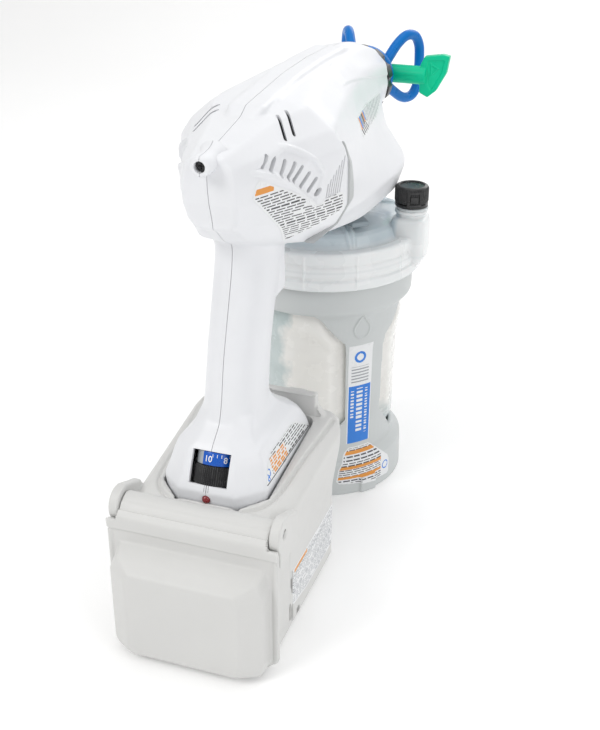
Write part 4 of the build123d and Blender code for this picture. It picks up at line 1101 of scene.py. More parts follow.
for nd, s_ in (("case_right", 1), ("case_left", -1)):
    cs = [prism("c", [(s_ * 24, 109), (s_ * 33.5, 103), (s_ * 33.5, 109.8), (s_ * 30.5, 113.6), (s_ * 27, 114.2), (s_ * 24, 114.2)], "XY", 82, 112),
          prism("c", circle_pts(8.5, 89.6, 2.4), "YZ", s_ * 48.4, s_ * 60),
          prism("c", slot_pts(34.4, 37.5, 13, 3.8, 90, 3), "YZ", s_ * 44.4, s_ * 60),
          prism("c", slot_pts(31.4, 15.5, 13, 3.4, 90, 3), "YZ", s_ * 44.4, s_ * 60),
          prism("c", circle_pts(45.6, 7.0, 3.0), "YZ", s_ * 42.5, s_ * 60)]
    lip = prism("lip", [(s_ * x, z) for x, z in ((-s_ * 0.0, 95), (39.5, 95), (39.5, 100.4), (36.2, 104.2), (28.5, 114.4), (24.5, 117), (13.4, 117),
                                                  (10.6, 112.2), (0, 112.2))], "XZ", 115.3, 122.4)
    lip2 = prism("lip", [(s_ * x, z) for x, z in ((0, 95), (38, 95), (38, 100), (33, 105), (27, 110.5), (0, 110.5))], "XZ", 120.5, 124.6)
    for o in (lip, lip2):
        bm = bmesh.new()
        bm.from_mesh(o.data)
        bmesh.ops.recalc_face_normals(bm, faces=bm.faces)
        bm.to_mesh(o.data)
        bm.free()
    o = join([NODES[nd], corner_fill(s_), lip, lip2], nd + "_skin")
    q = 1.0
    remesh(o, 0.62 * q)
    laplacian(o, int(20 / q), w_case)
    press_case(o)
    cut(o, cs)
    put(o, nd, SLOT_MAT[SLOT_OF[nd]])
    # black disc in the pin hole: painted shade that makes the hole read dark
    pg = prism("pin_hole_painted_shade_" + ("right" if s_ > 0 else "left"), circle_pts(8.5, 89.6, 2.36), "YZ", s_ * 48.6, s_ * 49.4)
    finish_mesh(pg, 40)
    set_mat(pg, M["black2"])
    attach(pg, BODY_OF[nd])


def w_door(P):
    x, y, z = np.abs(P[:, 0]), P[:, 1], P[:, 2]
    w = np.full(len(P), 0.25)
    w = np.maximum(w, 0.42 * sstep(-4.2, -6.5, y))
    w[z > 82] = 0.12
    return w


def press_door(o):
    me = o.data
    co = points(me)
    nn = np.empty(len(co) * 3)
    me.vertices.foreach_get("normal", nn)
    nn = nn.reshape(-1, 3)
    P = co / MM + (0, ORG, 0)
    rear = (nn[:, 1] < -0.5) & (P[:, 1] < -1)
    # ledge along the top of the flange and a fine bead down its edges
    d = np.where(rear & (P[:, 2] > 77.6), 1.1 * sstep(77.7, 78.7, P[:, 2]), 0)
    d += np.where(rear & (np.abs(P[:, 0]) > 48.4) & (P[:, 2] < 77), 0.55 * sstep(48.5, 49.3, np.abs(P[:, 0])), 0)
    co = co + nn * (d * MM)[:, None]
    me.vertices.foreach_set("co", co.ravel())
    me.update()


soften("battery_door", 0.6, 46, w_door, press=press_door)

# cup frame
def w_sup(P):
    return np.full(len(P), 0.5)


def press_support(o):
    me = o.data
    co = points(me)
    nn = np.empty(len(co) * 3)
    me.vertices.foreach_get("normal", nn)
    nn = nn.reshape(-1, 3)
    P = co / MM + (0, ORG - CUP_Y, 0)
    rad = np.hypot(P[:, 0], P[:, 1])
    th = np.arctan2(P[:, 1], P[:, 0])
    out = (nn[:, 0] * P[:, 0] + nn[:, 1] * P[:, 1]) > 0.5 * rad
    d = np.zeros(len(P))
    # plain droplet emblem in relief on the post
    t0 = math.atan2(194.5 - CUP_Y, 39.6)
    u = (th - t0) * 56.0
    v = (P[:, 2] - 128.5) / 0.86
    u = u / 0.86
    drop_ = [(7.2 * math.cos(a) * (1 - 0.32 * max(0, math.sin(a)) ** 1.5), 8.2 * math.sin(a) + 3.2 * max(0, math.sin(a)) ** 5) for a in
             [2 * math.pi * k / 48 for k in range(48)]]
    r, t = dist_poly(np.stack([u, v], -1), drop_ + drop_[:1])
    d += np.where(out, 0.75 * sstep(1.15, 0.45, r), 0)
    co = co + nn * (d * MM)[:, None]
    me.vertices.foreach_set("co", co.ravel())
    me.update()


soften("cup_support", 0.62, 12, w_sup, press=press_support)


# ------------------------------------------------------------------ cup: cover, liner, cap
def cover_mesh():
    prof = [(64.4, 162.2), (65.6, 162.0), (66.4, 162.5), (66.5, 163.6), (66.5, 168.6), (65.8, 169.4), (65.8, 170.8), (66.4, 171.6),
            (66.4, 178.2), (65.9, 178.9), (65.9, 179.8), (66.5, 180.6), (66.5, 186.2), (66.1, 187.5), (65.0, 188.1), (60.2, 188.2),
            (58.9, 187.9), (58.2, 186.9), (56.6, 186.7), (55.7, 187.3), (54.4, 190.2), (52.4, 193.6), (50.0, 195.6), (46, 196.7),
            (38, 197.9), (24, 199.4), (19.6, 199.9), (18.6, 200.6), (18.1, 201.7), (17.2, 202.2), (9.6, 202.2), (8.8, 201.4),
            (8.8, 198.4), (16, 197.9), (37.8, 195.9), (45.6, 194.7), (49.2, 193.7), (51.2, 191.8), (53.2, 188.3), (54.3, 185.8),
            (56, 184.9), (59.2, 185.0), (63.4, 185.4), (64.3, 184.6)]
    o = lathe("cup_cover_skin", prof, 0, CUP_Y, 220)
    add = []
    for a in (-54, 36, 126, 216):
        c, s = math.cos(math.radians(a)), math.sin(math.radians(a))
        rings = []
        for r in np.linspace(20.5, 56.5, 25):
            z = float(np.interp(r, [18, 24, 38, 46, 50, 52.4, 54.4, 56.6], [199.9, 199.4, 197.9, 196.7, 195.6, 193.6, 190.2, 187.0]))
            hw = 3.1 if r < 54 else 3.1 - (r - 54) * 0.5
            top = z + 1.5 * min(1, (r - 20.0) / 2.5) * min(1, (57.0 - r) / 3.0)
            sec = [(-hw, z - 1.0), (-hw + 0.2, top - 0.4), (-hw + 0.8, top), (-0.9, top), (-0.5, top - 0.9), (0.5, top - 0.9), (0.9, top),
                   (hw - 0.8, top), (hw - 0.2, top - 0.4), (hw, z - 1.0)]
            rings.append([tuple(V(r * c - t * s, CUP_Y + r * s + t * c, zz)) for t, zz in sec])
        add.append(grid_tube("rib", rings))
    # grip ribs and the two mould lines on the ring
    for k in range(12):
        a = math.radians(-84 + 30 * k)
        c, s = math.cos(a), math.sin(a)
        rings = []
        for z in np.linspace(163.2, 186.6, 12):
            sec = [(65.0, -0.55), (66.9, -0.45), (67.05, 0), (66.9, 0.45), (65.0, 0.55)]
            rings.append([tuple(V(r * c - t * s, CUP_Y + r * s + t * c, z)) for r, t in sec])
        add.append(grid_tube("rib", rings))
    # vent boss
    rings = []
    prof_b = [(166.2, 0.50), (168.5, 0.72), (172, 0.93), (175, 1.0), (193.5, 1.0), (196.5, 0.985), (198.4, 0.95), (199.4, 0.89), (199.8, 0.8)]
    for z, k in prof_b:
        rings.append([tuple(V(60.6 + px * k, 229 + py * k, z)) for px, py in superellipse(11.9, 12.9, 4.5, 72)])
    add.append(grid_tube("boss", rings))
    add.append(lathe("spigot", [(0, 196), (9.5, 196), (9.5, 202.4), (10.8, 202.8), (10.9, 203.4), (10.9, 204.4), (10.5, 204.9), (0, 204.9)],
                     60.5, 229, 72))
    for a in add:
        bm = bmesh.new()
        bm.from_mesh(a.data)
        bmesh.ops.recalc_face_normals(bm, faces=bm.faces)
        bm.to_mesh(a.data)
        bm.free()
    cut(o, add, "UNION")
    inner = []
    rings = []
    for z, k in [(168.0, 0.55), (175, 0.82), (194.5, 0.82), (197.2, 0.74)]:
        rings.append([tuple(V(60.6 + px * k, 229 + py * k, z)) for px, py in superellipse(11.9, 12.9, 4.5, 48)])
    inner.append(grid_tube("in", rings))
    inner.append(lathe("in", [(0, 195), (6.0, 195), (6.0, 206), (0, 206)], 60.5, 229, 48))
    cut(o, inner)
    return o


cov = cover_mesh()
remesh(cov, 0.52)
laplacian(cov, 5, lambda P: np.full(len(P), 0.5))
put(cov, "cup_cover", "cover", 30)


def cad_radius(node, cx, cy, zs, win=2.0):
    co = points(NODES[node].data) / MM + (0, ORG, 0)
    r = np.hypot(co[:, 0] - cx, co[:, 1] - cy)
    out = []
    for z in zs:
        m_ = np.abs(co[:, 2] - z) < win
        out.append(r[m_].max() if m_.any() else np.nan)
    out = np.array(out)
    ok = ~np.isnan(out)
    return np.interp(zs, zs[ok], out[ok])


def liner_mesh():
    lo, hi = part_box("liner_bag")
    z0, z1 = lo.z / MM, hi.z / MM
    zs = np.arange(z0, z1, 1.6)
    co = points(NODES["liner_bag"].data) / MM + (0, ORG, 0)
    rad = np.hypot(co[:, 0], co[:, 1] - CUP_Y)
    zk = np.unique(np.round(co[:, 2], 1))
    rk = np.array([rad[np.abs(co[:, 2] - z) < 0.3].max() for z in zk])
    hull = [(zk[0], rk[0])]
    for z, r in zip(zk, rk):
        if r > 20:
            hull.append((z, r))
    hz, hr = np.array([h[0] for h in hull]), np.array([h[1] for h in hull])
    n = 300
    verts, faces = [], []
    R = np.interp(zs, hz, hr) - 0.15
    out_r = np.interp(zs, [0, 31, 110, 124, 141], [50.0, 50.2, 51.9, 54.2, 54.7])
    for i, z in enumerate(zs):
        k = sstep(z0 + 4, z0 + 14, z) * sstep(z1 - 4, z1 - 22, z)
        for j in range(n):
            t = 2 * math.pi * j / n
            # the film bellies out into each window between the posts
            g = 0.0
            for a in (-98, 22, 142):
                da = (math.degrees(t) - a + 180) % 360 - 180
                w_ = 34.5 if 58 < z < 118 else (34.5 - (58 - z) * 0.705 if z <= 58 else 34.5 - (z - 118) * 0.717)
                lim = math.degrees(w_ / 51.0)
                if w_ > 4:
                    g = max(g, float(sstep(lim - 0.5, lim - 9.0, abs(da))))
            g *= float(sstep(36.5, 48, z)) * float(sstep(140, 128, z))
            p = Vector((math.cos(t) * 1.6, math.sin(t) * 1.6, z * 0.022))
            w = noise.fractal(p * 1.5, 1.0, 2.0, 3)
            d = 0.22 * w + 0.4 * math.exp(-((z - 64 - 10 * math.sin(t * 2 + 1)) / 2.6) ** 2) \
                + 0.35 * math.exp(-((z - 104 - 16 * math.sin(t * 3)) / 2.2) ** 2)
            r = R[i] + g * (out_r[i] - 0.55 - R[i]) - d * k * (0.35 + 0.65 * g)
            verts.append(V(r * math.cos(t), CUP_Y + r * math.sin(t), z))
    for i in range(len(zs) - 1):
        for j in range(n):
            k = (j + 1) % n
            faces.append((i * n + j, i * n + k, (i + 1) * n + k, (i + 1) * n + j))
    faces.append(tuple(range(n - 1, -1, -1)))
    o = mesh_obj("liner_film", verts, faces)
    m = o.modifiers.new("t", "SOLIDIFY")
    m.thickness = 0.5 * MM
    m.offset = -1
    bake(o)
    return o


def liner_mat():
    m, nt, b, out = new_mat("liner_film_tinted")
    tc = coords(nt)
    sep = nt.nodes.new("ShaderNodeSeparateXYZ")
    nt.links.new(tc, sep.inputs[0])
    yy = math_node(nt, "SUBTRACT", sep.outputs["Y"], (CUP_Y - ORG) * MM)
    ang = math_node(nt, "ARCTAN2", yy, sep.outputs["X"])
    n1 = noise_tex(nt, tc, 26, 4)
    n2 = noise_tex(nt, tc, 120, 3)
    a = math_node(nt, "ADD", ang, ramp(nt, n1, 0.3, 0.7, -0.16, 0.16))
    # cream where the film lies against the filled side, grey green where it stands off
    cream = math_node(nt, "MULTIPLY", ramp(nt, a, -1.78, -1.66), ramp(nt, a, 1.6, 1.3), True)
    low = ramp(nt, math_node(nt, "ADD", sep.outputs["Z"], ramp(nt, n1, 0.3, 0.7, -0.012, 0.012)), 0.048, 0.062)
    cream = math_node(nt, "MULTIPLY", cream, low, True)
    teal = mix_col(nt, ramp(nt, n1, 0.35, 0.7), (0.45, 0.54, 0.54), (0.60, 0.68, 0.68))
    crm = mix_col(nt, ramp(nt, n1, 0.35, 0.7), (0.88, 0.865, 0.82), (0.93, 0.92, 0.885))
    nt.links.new(mix_col(nt, cream, teal, crm), b.inputs["Base Color"])
    nt.links.new(ramp(nt, n2, 0.3, 0.7, 0.16, 0.34), b.inputs["Roughness"])
    b.inputs["Subsurface Weight"].default_value = 0.25
    b.inputs["Subsurface Radius"].default_value = (0.006, 0.006, 0.006)
    b.inputs["Subsurface Scale"].default_value = 0.5
    b.inputs["Coat Weight"].default_value = 0.5
    b.inputs["Coat Roughness"].default_value = 0.08
    bump(nt, b, n2, 0.2, 0.00012)
    return m


put(liner_mesh(), "liner_bag", liner_mat(), 60)


def vent_cap_mesh():
    n = 288
    prof = [(9.9, 207.05, 0), (10.7, 207.2, 0), (10.9, 207.8, 0), (10.9, 209.3, 0), (10.3, 209.7, 0), (10.3, 210.1, 0), (10.75, 210.5, 1),
            (10.85, 211.2, 1), (10.85, 218.4, 1), (10.7, 219.4, 1), (10.3, 220.3, 0.4), (9.6, 220.8, 0), (8.6, 220.95, 0), (8.1, 220.6, 0),
            (7.9, 220.1, 0), (0, 220.0, 0), (0, 208.0, 0), (9.4, 208.0, 0), (9.4, 207.05, 0)]
    verts, faces = [], []
    m_ = len(prof)
    idx = np.zeros((n, m_), int)
    for a, (r, z, k) in enumerate(prof):
        if r == 0:
            idx[:, a] = len(verts)
            verts.append(V(60.5, 229, z))
            continue
        for j in range(n):
            t = 2 * math.pi * j / n
            rr = r + k * 0.34 * ((0.5 + 0.5 * math.cos(t * 48)) ** 0.6)
            idx[j, a] = len(verts)
            verts.append(V(60.5 + rr * math.cos(t), 229 + rr * math.sin(t), z))
    for j in range(n):
        k = (j + 1) % n
        for a in range(m_):
            c2 = (a + 1) % m_
            f = []
            for q in (idx[j, a], idx[k, a], idx[k, c2], idx[j, c2]):
                if int(q) not in f:
                    f.append(int(q))
            if len(f) > 2:
                faces.append(tuple(f))
    o = weld(mesh_obj("vent_cap_skin", verts, faces), 1e-9)
    # catch: a framed tab in the skirt
    add = []
    a0 = math.radians(-66)

    def patch(u0, u1, z0, z1, r0, r1):
        rings = []
        for u in np.linspace(u0, u1, 9):
            t = a0 + u / 11.0
            sec = [(r0, z0), (r1 - 0.25, z0), (r1, z0 + 0.25), (r1, z1 - 0.25), (r1 - 0.25, z1), (r0, z1)]
            rings.append([tuple(V(60.5 + r * math.cos(t), 229 + r * math.sin(t), z)) for r, z in sec])
        return weld(grid_tube("p", rings))
    add += [patch(-4.6, 4.6, 209.0, 210.4, 9.5, 11.6), patch(-4.6, -3.2, 209.0, 218.6, 9.5, 11.55), patch(3.2, 4.6, 209.0, 218.6, 9.5, 11.55),
            patch(-4.6, 4.6, 217.4, 218.8, 9.5, 11.55), patch(-2.4, 2.4, 211.4, 215.6, 9.5, 11.7)]
    cut(o, add, "UNION")
    return o


put(vent_cap_mesh(), "vent_cap", "black2", 30)
M["washer"] = translucent("washer_pale", (0.82, 0.86, 0.87), 0.3, 0.3)
soften("vent_o_ring", 0.16, 8, mat="washer")
M["latch"] = plastic("latch_grey", (0.25, 0.30, 0.33), 0.35, 1200, 0.00006, 0.08)
soften("cup_latch", 0.42, 16, lambda P: np.full(len(P), 0.7), mat="latch")


# ------------------------------------------------------------------ nozzle
soften("retaining_nut", 0.34, 14, lambda P: np.full(len(P), 0.55))
# tip guard: the moulded block and two closed loops
gd = join([NODES["tip_guard"]], "guard_block")
remesh(gd, 0.36)
cut(gd, [box_obj("c", (-14.2, 300, 240), (14.2, 341.2, 296))], "INTERSECT")
LOOP = [(0, 8), (0.12, 12.5), (0.3, 18.4), (0.5, 22.6), (0.68, 23.6), (0.86, 21.2), (0.97, 15), (1, 8), (1, -8), (0.97, -14.5),
        (0.84, -20.6), (0.66, -22), (0.48, -20.2), (0.28, -15.5), (0.1, -10.5), (-0.03, -5), (-0.03, 4)]
loops = []
for s_ in (-1, 1):
    pts = [(s_ * (12.6 + 15.8 * t), 330 + 34.8 * t, 268 + h) for t, h in smooth_line(LOOP + LOOP[:1], 6)[:-1]]
    loops.append(tube_path("loop", pts, 3.7, 16, True))
collar = lathe("collar", [(0, 319), (18.6, 319), (20.2, 320.2), (20.4, 323), (19.0, 327), (15.5, 331), (11, 334), (0, 334)], 0, 268, 64, "Y")
cut(collar, [lathe("c", [(0, 310), (9.5, 310), (9.5, 322), (0, 322)], 0, 268, 48, "Y"), prism("c", circle_pts(332, 268, 6.7), "YZ", -40, 40)])
o = join([gd, collar] + loops, "tip_guard_skin")
q = 1.0
remesh(o, 0.4 * q)
laplacian(o, int(16 / q), lambda P: np.where(P[:, 1] > 338, 0.6, 0.35))
put(o, "tip_guard", "blue")


def press_tip(o):
    me = o.data
    co = points(me)
    nn = np.empty(len(co) * 3)
    me.vertices.foreach_get("normal", nn)
    nn = nn.reshape(-1, 3)
    P = co / MM + (0, ORG, 0)
    xz = np.stack([P[:, 0], P[:, 2] - SPRAY_Z], -1)
    face = (np.abs(nn[:, 1]) > 0.7) & (P[:, 0] > 43)
    ring = [(41.5, 5), (43.5, -6.5), (46.5, -11), (49, -7.5), (54.3, 2.5), (56, 12.2), (54.5, 12.8), (43, 11.5), (41.5, 5)]
    r, t = dist_poly(xz, ring)
    ins = inside(xz, ring[:-1])
    d = np.where(face & ins, -0.7 * sstep(0.2, 1.1, r), 0)
    # plain arrow-shaped relief in the pocket
    mark = [(46, 1), (51, 6), (46, 8.5), (46, 1)]
    r2, t = dist_poly(xz, mark)
    d += np.where(face, 0.5 * sstep(0.8, 0.35, r2), 0)
    barrel = (P[:, 0] < 38) & (P[:, 0] > 14)
    flute = np.cos(np.arctan2(P[:, 2] - SPRAY_Z, P[:, 1] - 332) * 4)
    d += np.where(barrel & (np.abs(nn[:, 0]) < 0.5), -0.35 * sstep(0.75, 0.98, flute) * sstep(14, 17, P[:, 0]) * sstep(38, 35, P[:, 0]), 0)
    co = co + nn * (d * MM)[:, None]
    me.vertices.foreach_set("co", co.ravel())
    me.update()


soften("switch_tip", 0.3, 18, lambda P: np.full(len(P), 0.85), press=press_tip)
soften("outlet_fitting", 0.4, 8)

# ------------------------------------------------------------------ small controls
for nd, vx, it in (("trigger", 0.36, 30), ("trigger_lock", 0.28, 14), ("prime_knob", 0.36, 20), ("release_button", 0.36, 22),
                   ("inlet_strainer", 0.25, 6)):
    soften(nd, vx, it, lambda P: np.full(len(P), 0.6))

# recessed plug in the rear boss, with a cross recess
pl = lathe("rear_plug", [(0, 31.0), (2.6, 31.0), (3.0, 31.5), (3.05, 34.5), (0, 34.5)], 0, 285, 48, "Y")
cut(pl, [box_obj("c", (-0.35, 30, 283.2), (0.35, 31.9, 286.8)), box_obj("c", (-1.8, 30, 284.65), (1.8, 31.9, 285.35))])
put(pl, "rear_screw", "black2", 30)

# lamp: a domed lens
prof = [(0, 17.25)] + [(2.45 * math.sin(math.radians(a)), 19.2 - 1.95 * math.cos(math.radians(a))) for a in range(10, 91, 8)] + [(2.45, 21.0), (0, 21.0)]
put(lathe("lamp_lens", [(max(r, 0.001), y) for r, y in prof], 0, 93.3, 48, "Y"), "indicator_lens", "lamp", 50)


# ------------------------------------------------------------------ speed dial
DZ = Vector((0, 0.3995, 0.9167)).normalized()
DX = Vector((1, 0, 0))
DY = DZ.cross(DX)
D0 = V(0, 34.7, 103.4)


def dial_pt(r, t, w):
    """t from the rearmost line of the dial, positive towards +X."""
    d = DX * math.sin(t) - DY * math.cos(t)
    return D0 + d * (r * MM) + DZ * (w * MM)


def dial_ring(name, prof, n, shape):
    verts, faces = [], []
    for j in range(n):
        t = 2 * math.pi * j / n
        for r, w in prof:
            verts.append(dial_pt(shape(r, w, t), t, w))
    k = len(prof)
    for j in range(n):
        jj = (j + 1) % n
        for a in range(k):
            b2 = (a + 1) % k
            faces.append((j * k + a, j * k + b2, jj * k + b2, jj * k + a))
    return weld(mesh_obj(name, verts, faces), 2e-7)


def knurl(r, w, t):
    if r < 11.2:
        return r
    return r - 0.7 * (0.5 - 0.5 * math.cos(60 * t)) ** 0.6


prof = [(2.05, -11.6), (10.9, -12.1), (11.8, -11.8), (12.35, -11.0), (12.45, -9.5), (12.45, 2.4), (12.2, 3.6), (11.4, 4.15), (2.05, 4.2)]
dl = dial_ring("dial_wheel", prof, 640, knurl)
M["wheel"] = plastic("wheel_black", (0.03, 0.03, 0.032), 0.27, 1100, 0.00004, 0.15, wear=(0.12, 0.12, 0.12))
put(dl, "speed_dial", "wheel", 30)
prof = [(2.05, 4.25), (10.9, 4.25), (11.6, 4.5), (11.72, 5.0), (11.72, 11.2), (11.5, 11.9), (10.6, 12.2), (2.05, 12.2)]
sc_ = dial_ring("dial_band", prof, 200, lambda r, w, t: r)
finish_mesh(sc_, 30)
sc_.data.materials.append(M["scale"])
M["scale_clear"] = plastic("scale_grey", (0.42, 0.45, 0.48), 0.2, 1500, 0.00003, 0.1, coat=0.5)
sc_.data.materials.append(M["scale_clear"])
for p in sc_.data.polygons:
    v = p.center - D0
    t = math.atan2(v.dot(DX), -v.dot(DY))
    if -1.25 < t < -0.42:
        p.material_index = 1
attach(sc_, "dial")
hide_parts("dial_scale")
M["white_print"] = plastic("numeral_white", (0.9, 0.9, 0.9), 0.4, 900, 0.00002, 0.03)
nums = []
for label, deg in (("10", -6), ("8", 44), ("6", 94), ("4", 144), ("2", 194), ("1", 236)):
    cu = bpy.data.curves.new("n", "FONT")
    cu.body = label
    cu.size = 4.9
    cu.align_x = "CENTER"
    cu.extrude = 0.06
    cu.offset = 0.05
    ob = link(bpy.data.objects.new("n", cu))
    bpy.context.view_layer.update()
    me = bpy.data.meshes.new_from_object(ob.evaluated_get(bpy.context.evaluated_depsgraph_get()))
    bpy.data.objects.remove(ob)
    for v in me.vertices:
        x, y, z = v.co
        v.co = dial_pt(11.74 + z, math.radians(deg) + x / 11.8, 8.2 - 1.75 + y)
    nums.append(link(bpy.data.objects.new("n", me)))
    for k in (1, 2, 3):
        a = deg + 12.5 * k
        if deg == 236 and k > 1:
            continue
        vs = []
        for t, w in ((-0.18, 9.2), (0.18, 9.2), (0.18, 11.0), (-0.18, 11.0)):
            vs.append(dial_pt(11.8, math.radians(a) + t / 11.8, w))
        for t, w in ((-0.18, 9.2), (0.18, 9.2), (0.18, 11.0), (-0.18, 11.0)):
            vs.append(dial_pt(11.7, math.radians(a) + t / 11.8, w))
        nums.append(mesh_obj("n", vs, [(0, 1, 2, 3), (7, 6, 5, 4), (0, 4, 5, 1), (1, 5, 6, 2), (2, 6, 7, 3), (3, 7, 4, 0)]))
nm_ = join(nums, "dial_numerals")
nm_.data.materials.clear()
nm_.data.materials.append(M["white_print"])
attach(nm_, "dial")


# ------------------------------------------------------------------ plain information plates, without wording
M["film"] = plastic("film_white", (0.80, 0.81, 0.82), 0.3, 1400, 0.00002, 0.02)
M["ink"] = plastic("ink_dark", (0.06, 0.06, 0.065), 0.45, 1400, 0.00002, 0.2)
M["ink_grey"] = plastic("ink_grey", (0.36, 0.38, 0.40), 0.45, 1400, 0.00002, 0.12)
M["ink_orange"] = plastic("ink_orange", (0.75, 0.30, 0.05), 0.4, 1400, 0.00002, 0.06)
M["ink_blue"] = plastic("ink_blue", (0.02, 0.20, 0.68), 0.4, 1400, 0.00002, 0.06)
INKS = ["film", "ink", "ink_grey", "ink_orange", "ink_blue"]
SKIN_BVH = {}


def bvh_of(*names):
    key = tuple(names)
    if key not in SKIN_BVH:
        vs, fs = [], []
        for nme in names:
            me = bpy.data.objects[nme].data
            base = len(vs)
            vs += [v.co.copy() for v in me.vertices]
            fs += [[base + i for i in p.vertices] for p in me.polygons]
        SKIN_BVH[key] = BVHTree.FromPolygons(vs, fs)
    return SKIN_BVH[key]


def words(a, row, pitch=3.4, gap=0.7, holes=0.07):
    """True where a row of plain dashes has print."""
    s = a / pitch + (math.sin(row * 12.9898) * 43758.5453) % 1
    k = math.floor(s)
    h = (math.sin(row * 127.1 + k * 311.7) * 43758.5453) % 1
    return (s - k) * pitch < pitch - gap - h * 0.8 and h > holes


def decal(name, body_name, tree, poly, ray, colour, step=0.34, lift=0.06, thick=0.16):
    """Film following the surface under it. poly is in the plate's own mm; ray(a, b) gives a start point and a direction."""
    poly = [tuple(p) for p in poly]
    xs, ys = zip(*poly)
    na = int((max(xs) - min(xs)) / step) + 2
    nb = int((max(ys) - min(ys)) / step) + 2
    A = min(xs) + step * np.arange(na)
    B = min(ys) + step * np.arange(nb)
    cx = np.array([(a + step / 2, b2 + step / 2) for a in A[:-1] for b2 in B[:-1]])
    keep = inside(cx, poly)
    verts, faces, cols, idx = [], [], [], {}

    def vert(i, j):
        if (i, j) not in idx:
            o_, d_ = ray(A[i], B[j])
            hit_, nrm, _, _ = tree.ray_cast(o_, d_)
            if hit_ is None:
                idx[(i, j)] = None
            else:
                if nrm.dot(d_) > 0:
                    nrm = -nrm
                idx[(i, j)] = len(verts)
                verts.append(hit_ - d_ * (lift * MM))
        return idx[(i, j)]
    q = 0
    for i in range(na - 1):
        for j in range(nb - 1):
            if keep[q]:
                c = [vert(i, j), vert(i + 1, j), vert(i + 1, j + 1), vert(i, j + 1)]
                if None not in c:
                    faces.append(c)
                    cols.append(colour(A[i] + step / 2, B[j] + step / 2))
            q += 1
    o = mesh_obj(name, verts, faces)
    # a film bridges small dips: even the surface a little
    bm = bmesh.new()
    bm.from_mesh(o.data)
    for _ in range(6):
        bmesh.ops.smooth_vert(bm, verts=[v for v in bm.verts if not v.is_boundary], factor=0.5, use_axis_x=True, use_axis_y=True, use_axis_z=True)
    bm.to_mesh(o.data)
    bm.free()
    for k in INKS:
        o.data.materials.append(M[k])
    for p, c in zip(o.data.polygons, cols):
        p.material_index = c
    m_ = o.modifiers.new("t", "SOLIDIFY")
    m_.thickness = thick * MM
    m_.offset = 0
    bake(o)
    o.data.shade_smooth()
    o.data.set_sharp_from_angle(angle=math.radians(50))
    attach(o, body_name)
    return o


def edge_dist(a, b2, poly):
    P = np.array([[a, b2]])
    r, t = dist_poly(P, list(poly) + [poly[0]])
    return r[0]


head_poly = [(52.4, 273.6), (50.2, 270.5), (48.8, 264.6), (50.0, 262.5), (84.5, 229.0), (87.0, 228.6), (112.2, 240.0), (113.4, 242.6),
             (113.0, 250.6), (111.0, 252.0), (100.6, 252.6), (96.5, 249.0), (92.2, 249.2), (84.0, 256.0), (76.5, 260.8), (64, 267.6)]


def head_col(a, b2):
    r = edge_dist(a, b2, head_poly)
    if r < 1.0:
        return 0
    if 50 < a < 62.5 and 265.2 < b2 < 268.6:
        return 3
    k = math.floor((b2 - 228) / 1.75)
    f = (b2 - 228) / 1.75 - k
    if b2 > 264.6:
        return 0
    return 1 if 0.2 < f < 0.62 and words(a, k, 6.5, 0.6, 0.04) else 0


decal("plate_head", "gun", bvh_of("shell_skin_right"), head_poly, lambda a, b2: (V(80, a, b2), Vector((-1, 0, 0))), head_col)

foot_poly = [(34.6, 99.6), (36.5, 102.6), (46.8, 111.8), (51, 113.2), (86.5, 113.0), (90.5, 111.6), (107.5, 100.6), (106.8, 99.2), (36.0, 98.8)]


def foot_col(a, b2):
    r = edge_dist(a, b2, foot_poly)
    lo = 98.8 + (a - 36) * 0.004
    if b2 < lo + 0.75:
        return 1
    if r < 0.9:
        return 0
    k = math.floor((b2 - 98) / 1.9)
    f = (b2 - 98) / 1.9 - k
    if 47 < a < 70 and 0.1 < f < 0.8 and 100 < b2 < 110.5 - (a - 47) * 0.08:
        return 3 if words(a, k, 6, 0.8) else 0
    if a < 46:
        q_ = min(abs(math.hypot(a - 41.5, b2 - 104.2) - 2.0), abs(math.hypot(a - 39.6, b2 - 100.9) - 1.1))
        return 4 if q_ < 0.45 else 0
    return 1 if 0.2 < f < 0.62 and words(a, k, 5.5, 0.6) else 0


decal("plate_foot", "gun", bvh_of("shell_skin_right"), foot_poly, lambda a, b2: (V(80, a, b2 + 12.5), Vector((-1, 0, -0.25)).normalized()), foot_col)

side_poly = [(36, 42.6), (110, 42.6), (112, 40.6), (112, 16.5), (109, 12.8), (60, 13.6), (50, 15.5), (36, 17.6)]


def side_col(a, b2):
    if edge_dist(a, b2, side_poly) < 1.0:
        return 0
    if 39 < a < 62 and 39.2 < b2 < 41.6:
        return 3
    k = math.floor((b2 - 12) / 1.65)
    f = (b2 - 12) / 1.65 - k
    return 2 if 0.2 < f < 0.64 and words(a, k, 5.5, 0.6) else 0


decal("plate_case", "gun", bvh_of("case_right_skin"), side_poly, lambda a, b2: (V(80, a, b2), Vector((-1, 0, 0))), side_col)

nose_poly = [(174.5, 277.0), (222, 274.2), (252, 271.6), (266, 270.4), (262, 266.4), (236, 263.4), (200, 263.6), (175.5, 264.8), (173.0, 268)]


def nose_col(a, b2):
    if edge_dist(a, b2, nose_poly) < 0.7:
        return 0
    if a < 200:
        k = int((a - 173) / 4.6) % 4
        return (3, 4, 2, 1)[k] if b2 > 269.5 else (1 if int((a + b2) / 2.4) % 2 else 0)
    return 2 if (a - b2 * 1.4) % 5.2 < 2.0 else 0


decal("plate_nose", "gun", bvh_of("shell_skin_right"), nose_poly, lambda a, b2: (V(80, a, b2), Vector((-1, 0, 0))), nose_col)


def radial(a, b2):
    t = math.radians(a)
    return V(80 * math.cos(t), CUP_Y + 80 * math.sin(t), b2), Vector((-math.cos(t), -math.sin(t), 0))


def cyl(poly):
    return poly


K = 0.9            # mm per degree on the post
strip_poly = [(-53.4 * K, 115.5), (-32.6 * K, 115.5), (-32.6 * K, 38.0), (-53.4 * K, 38.0)]


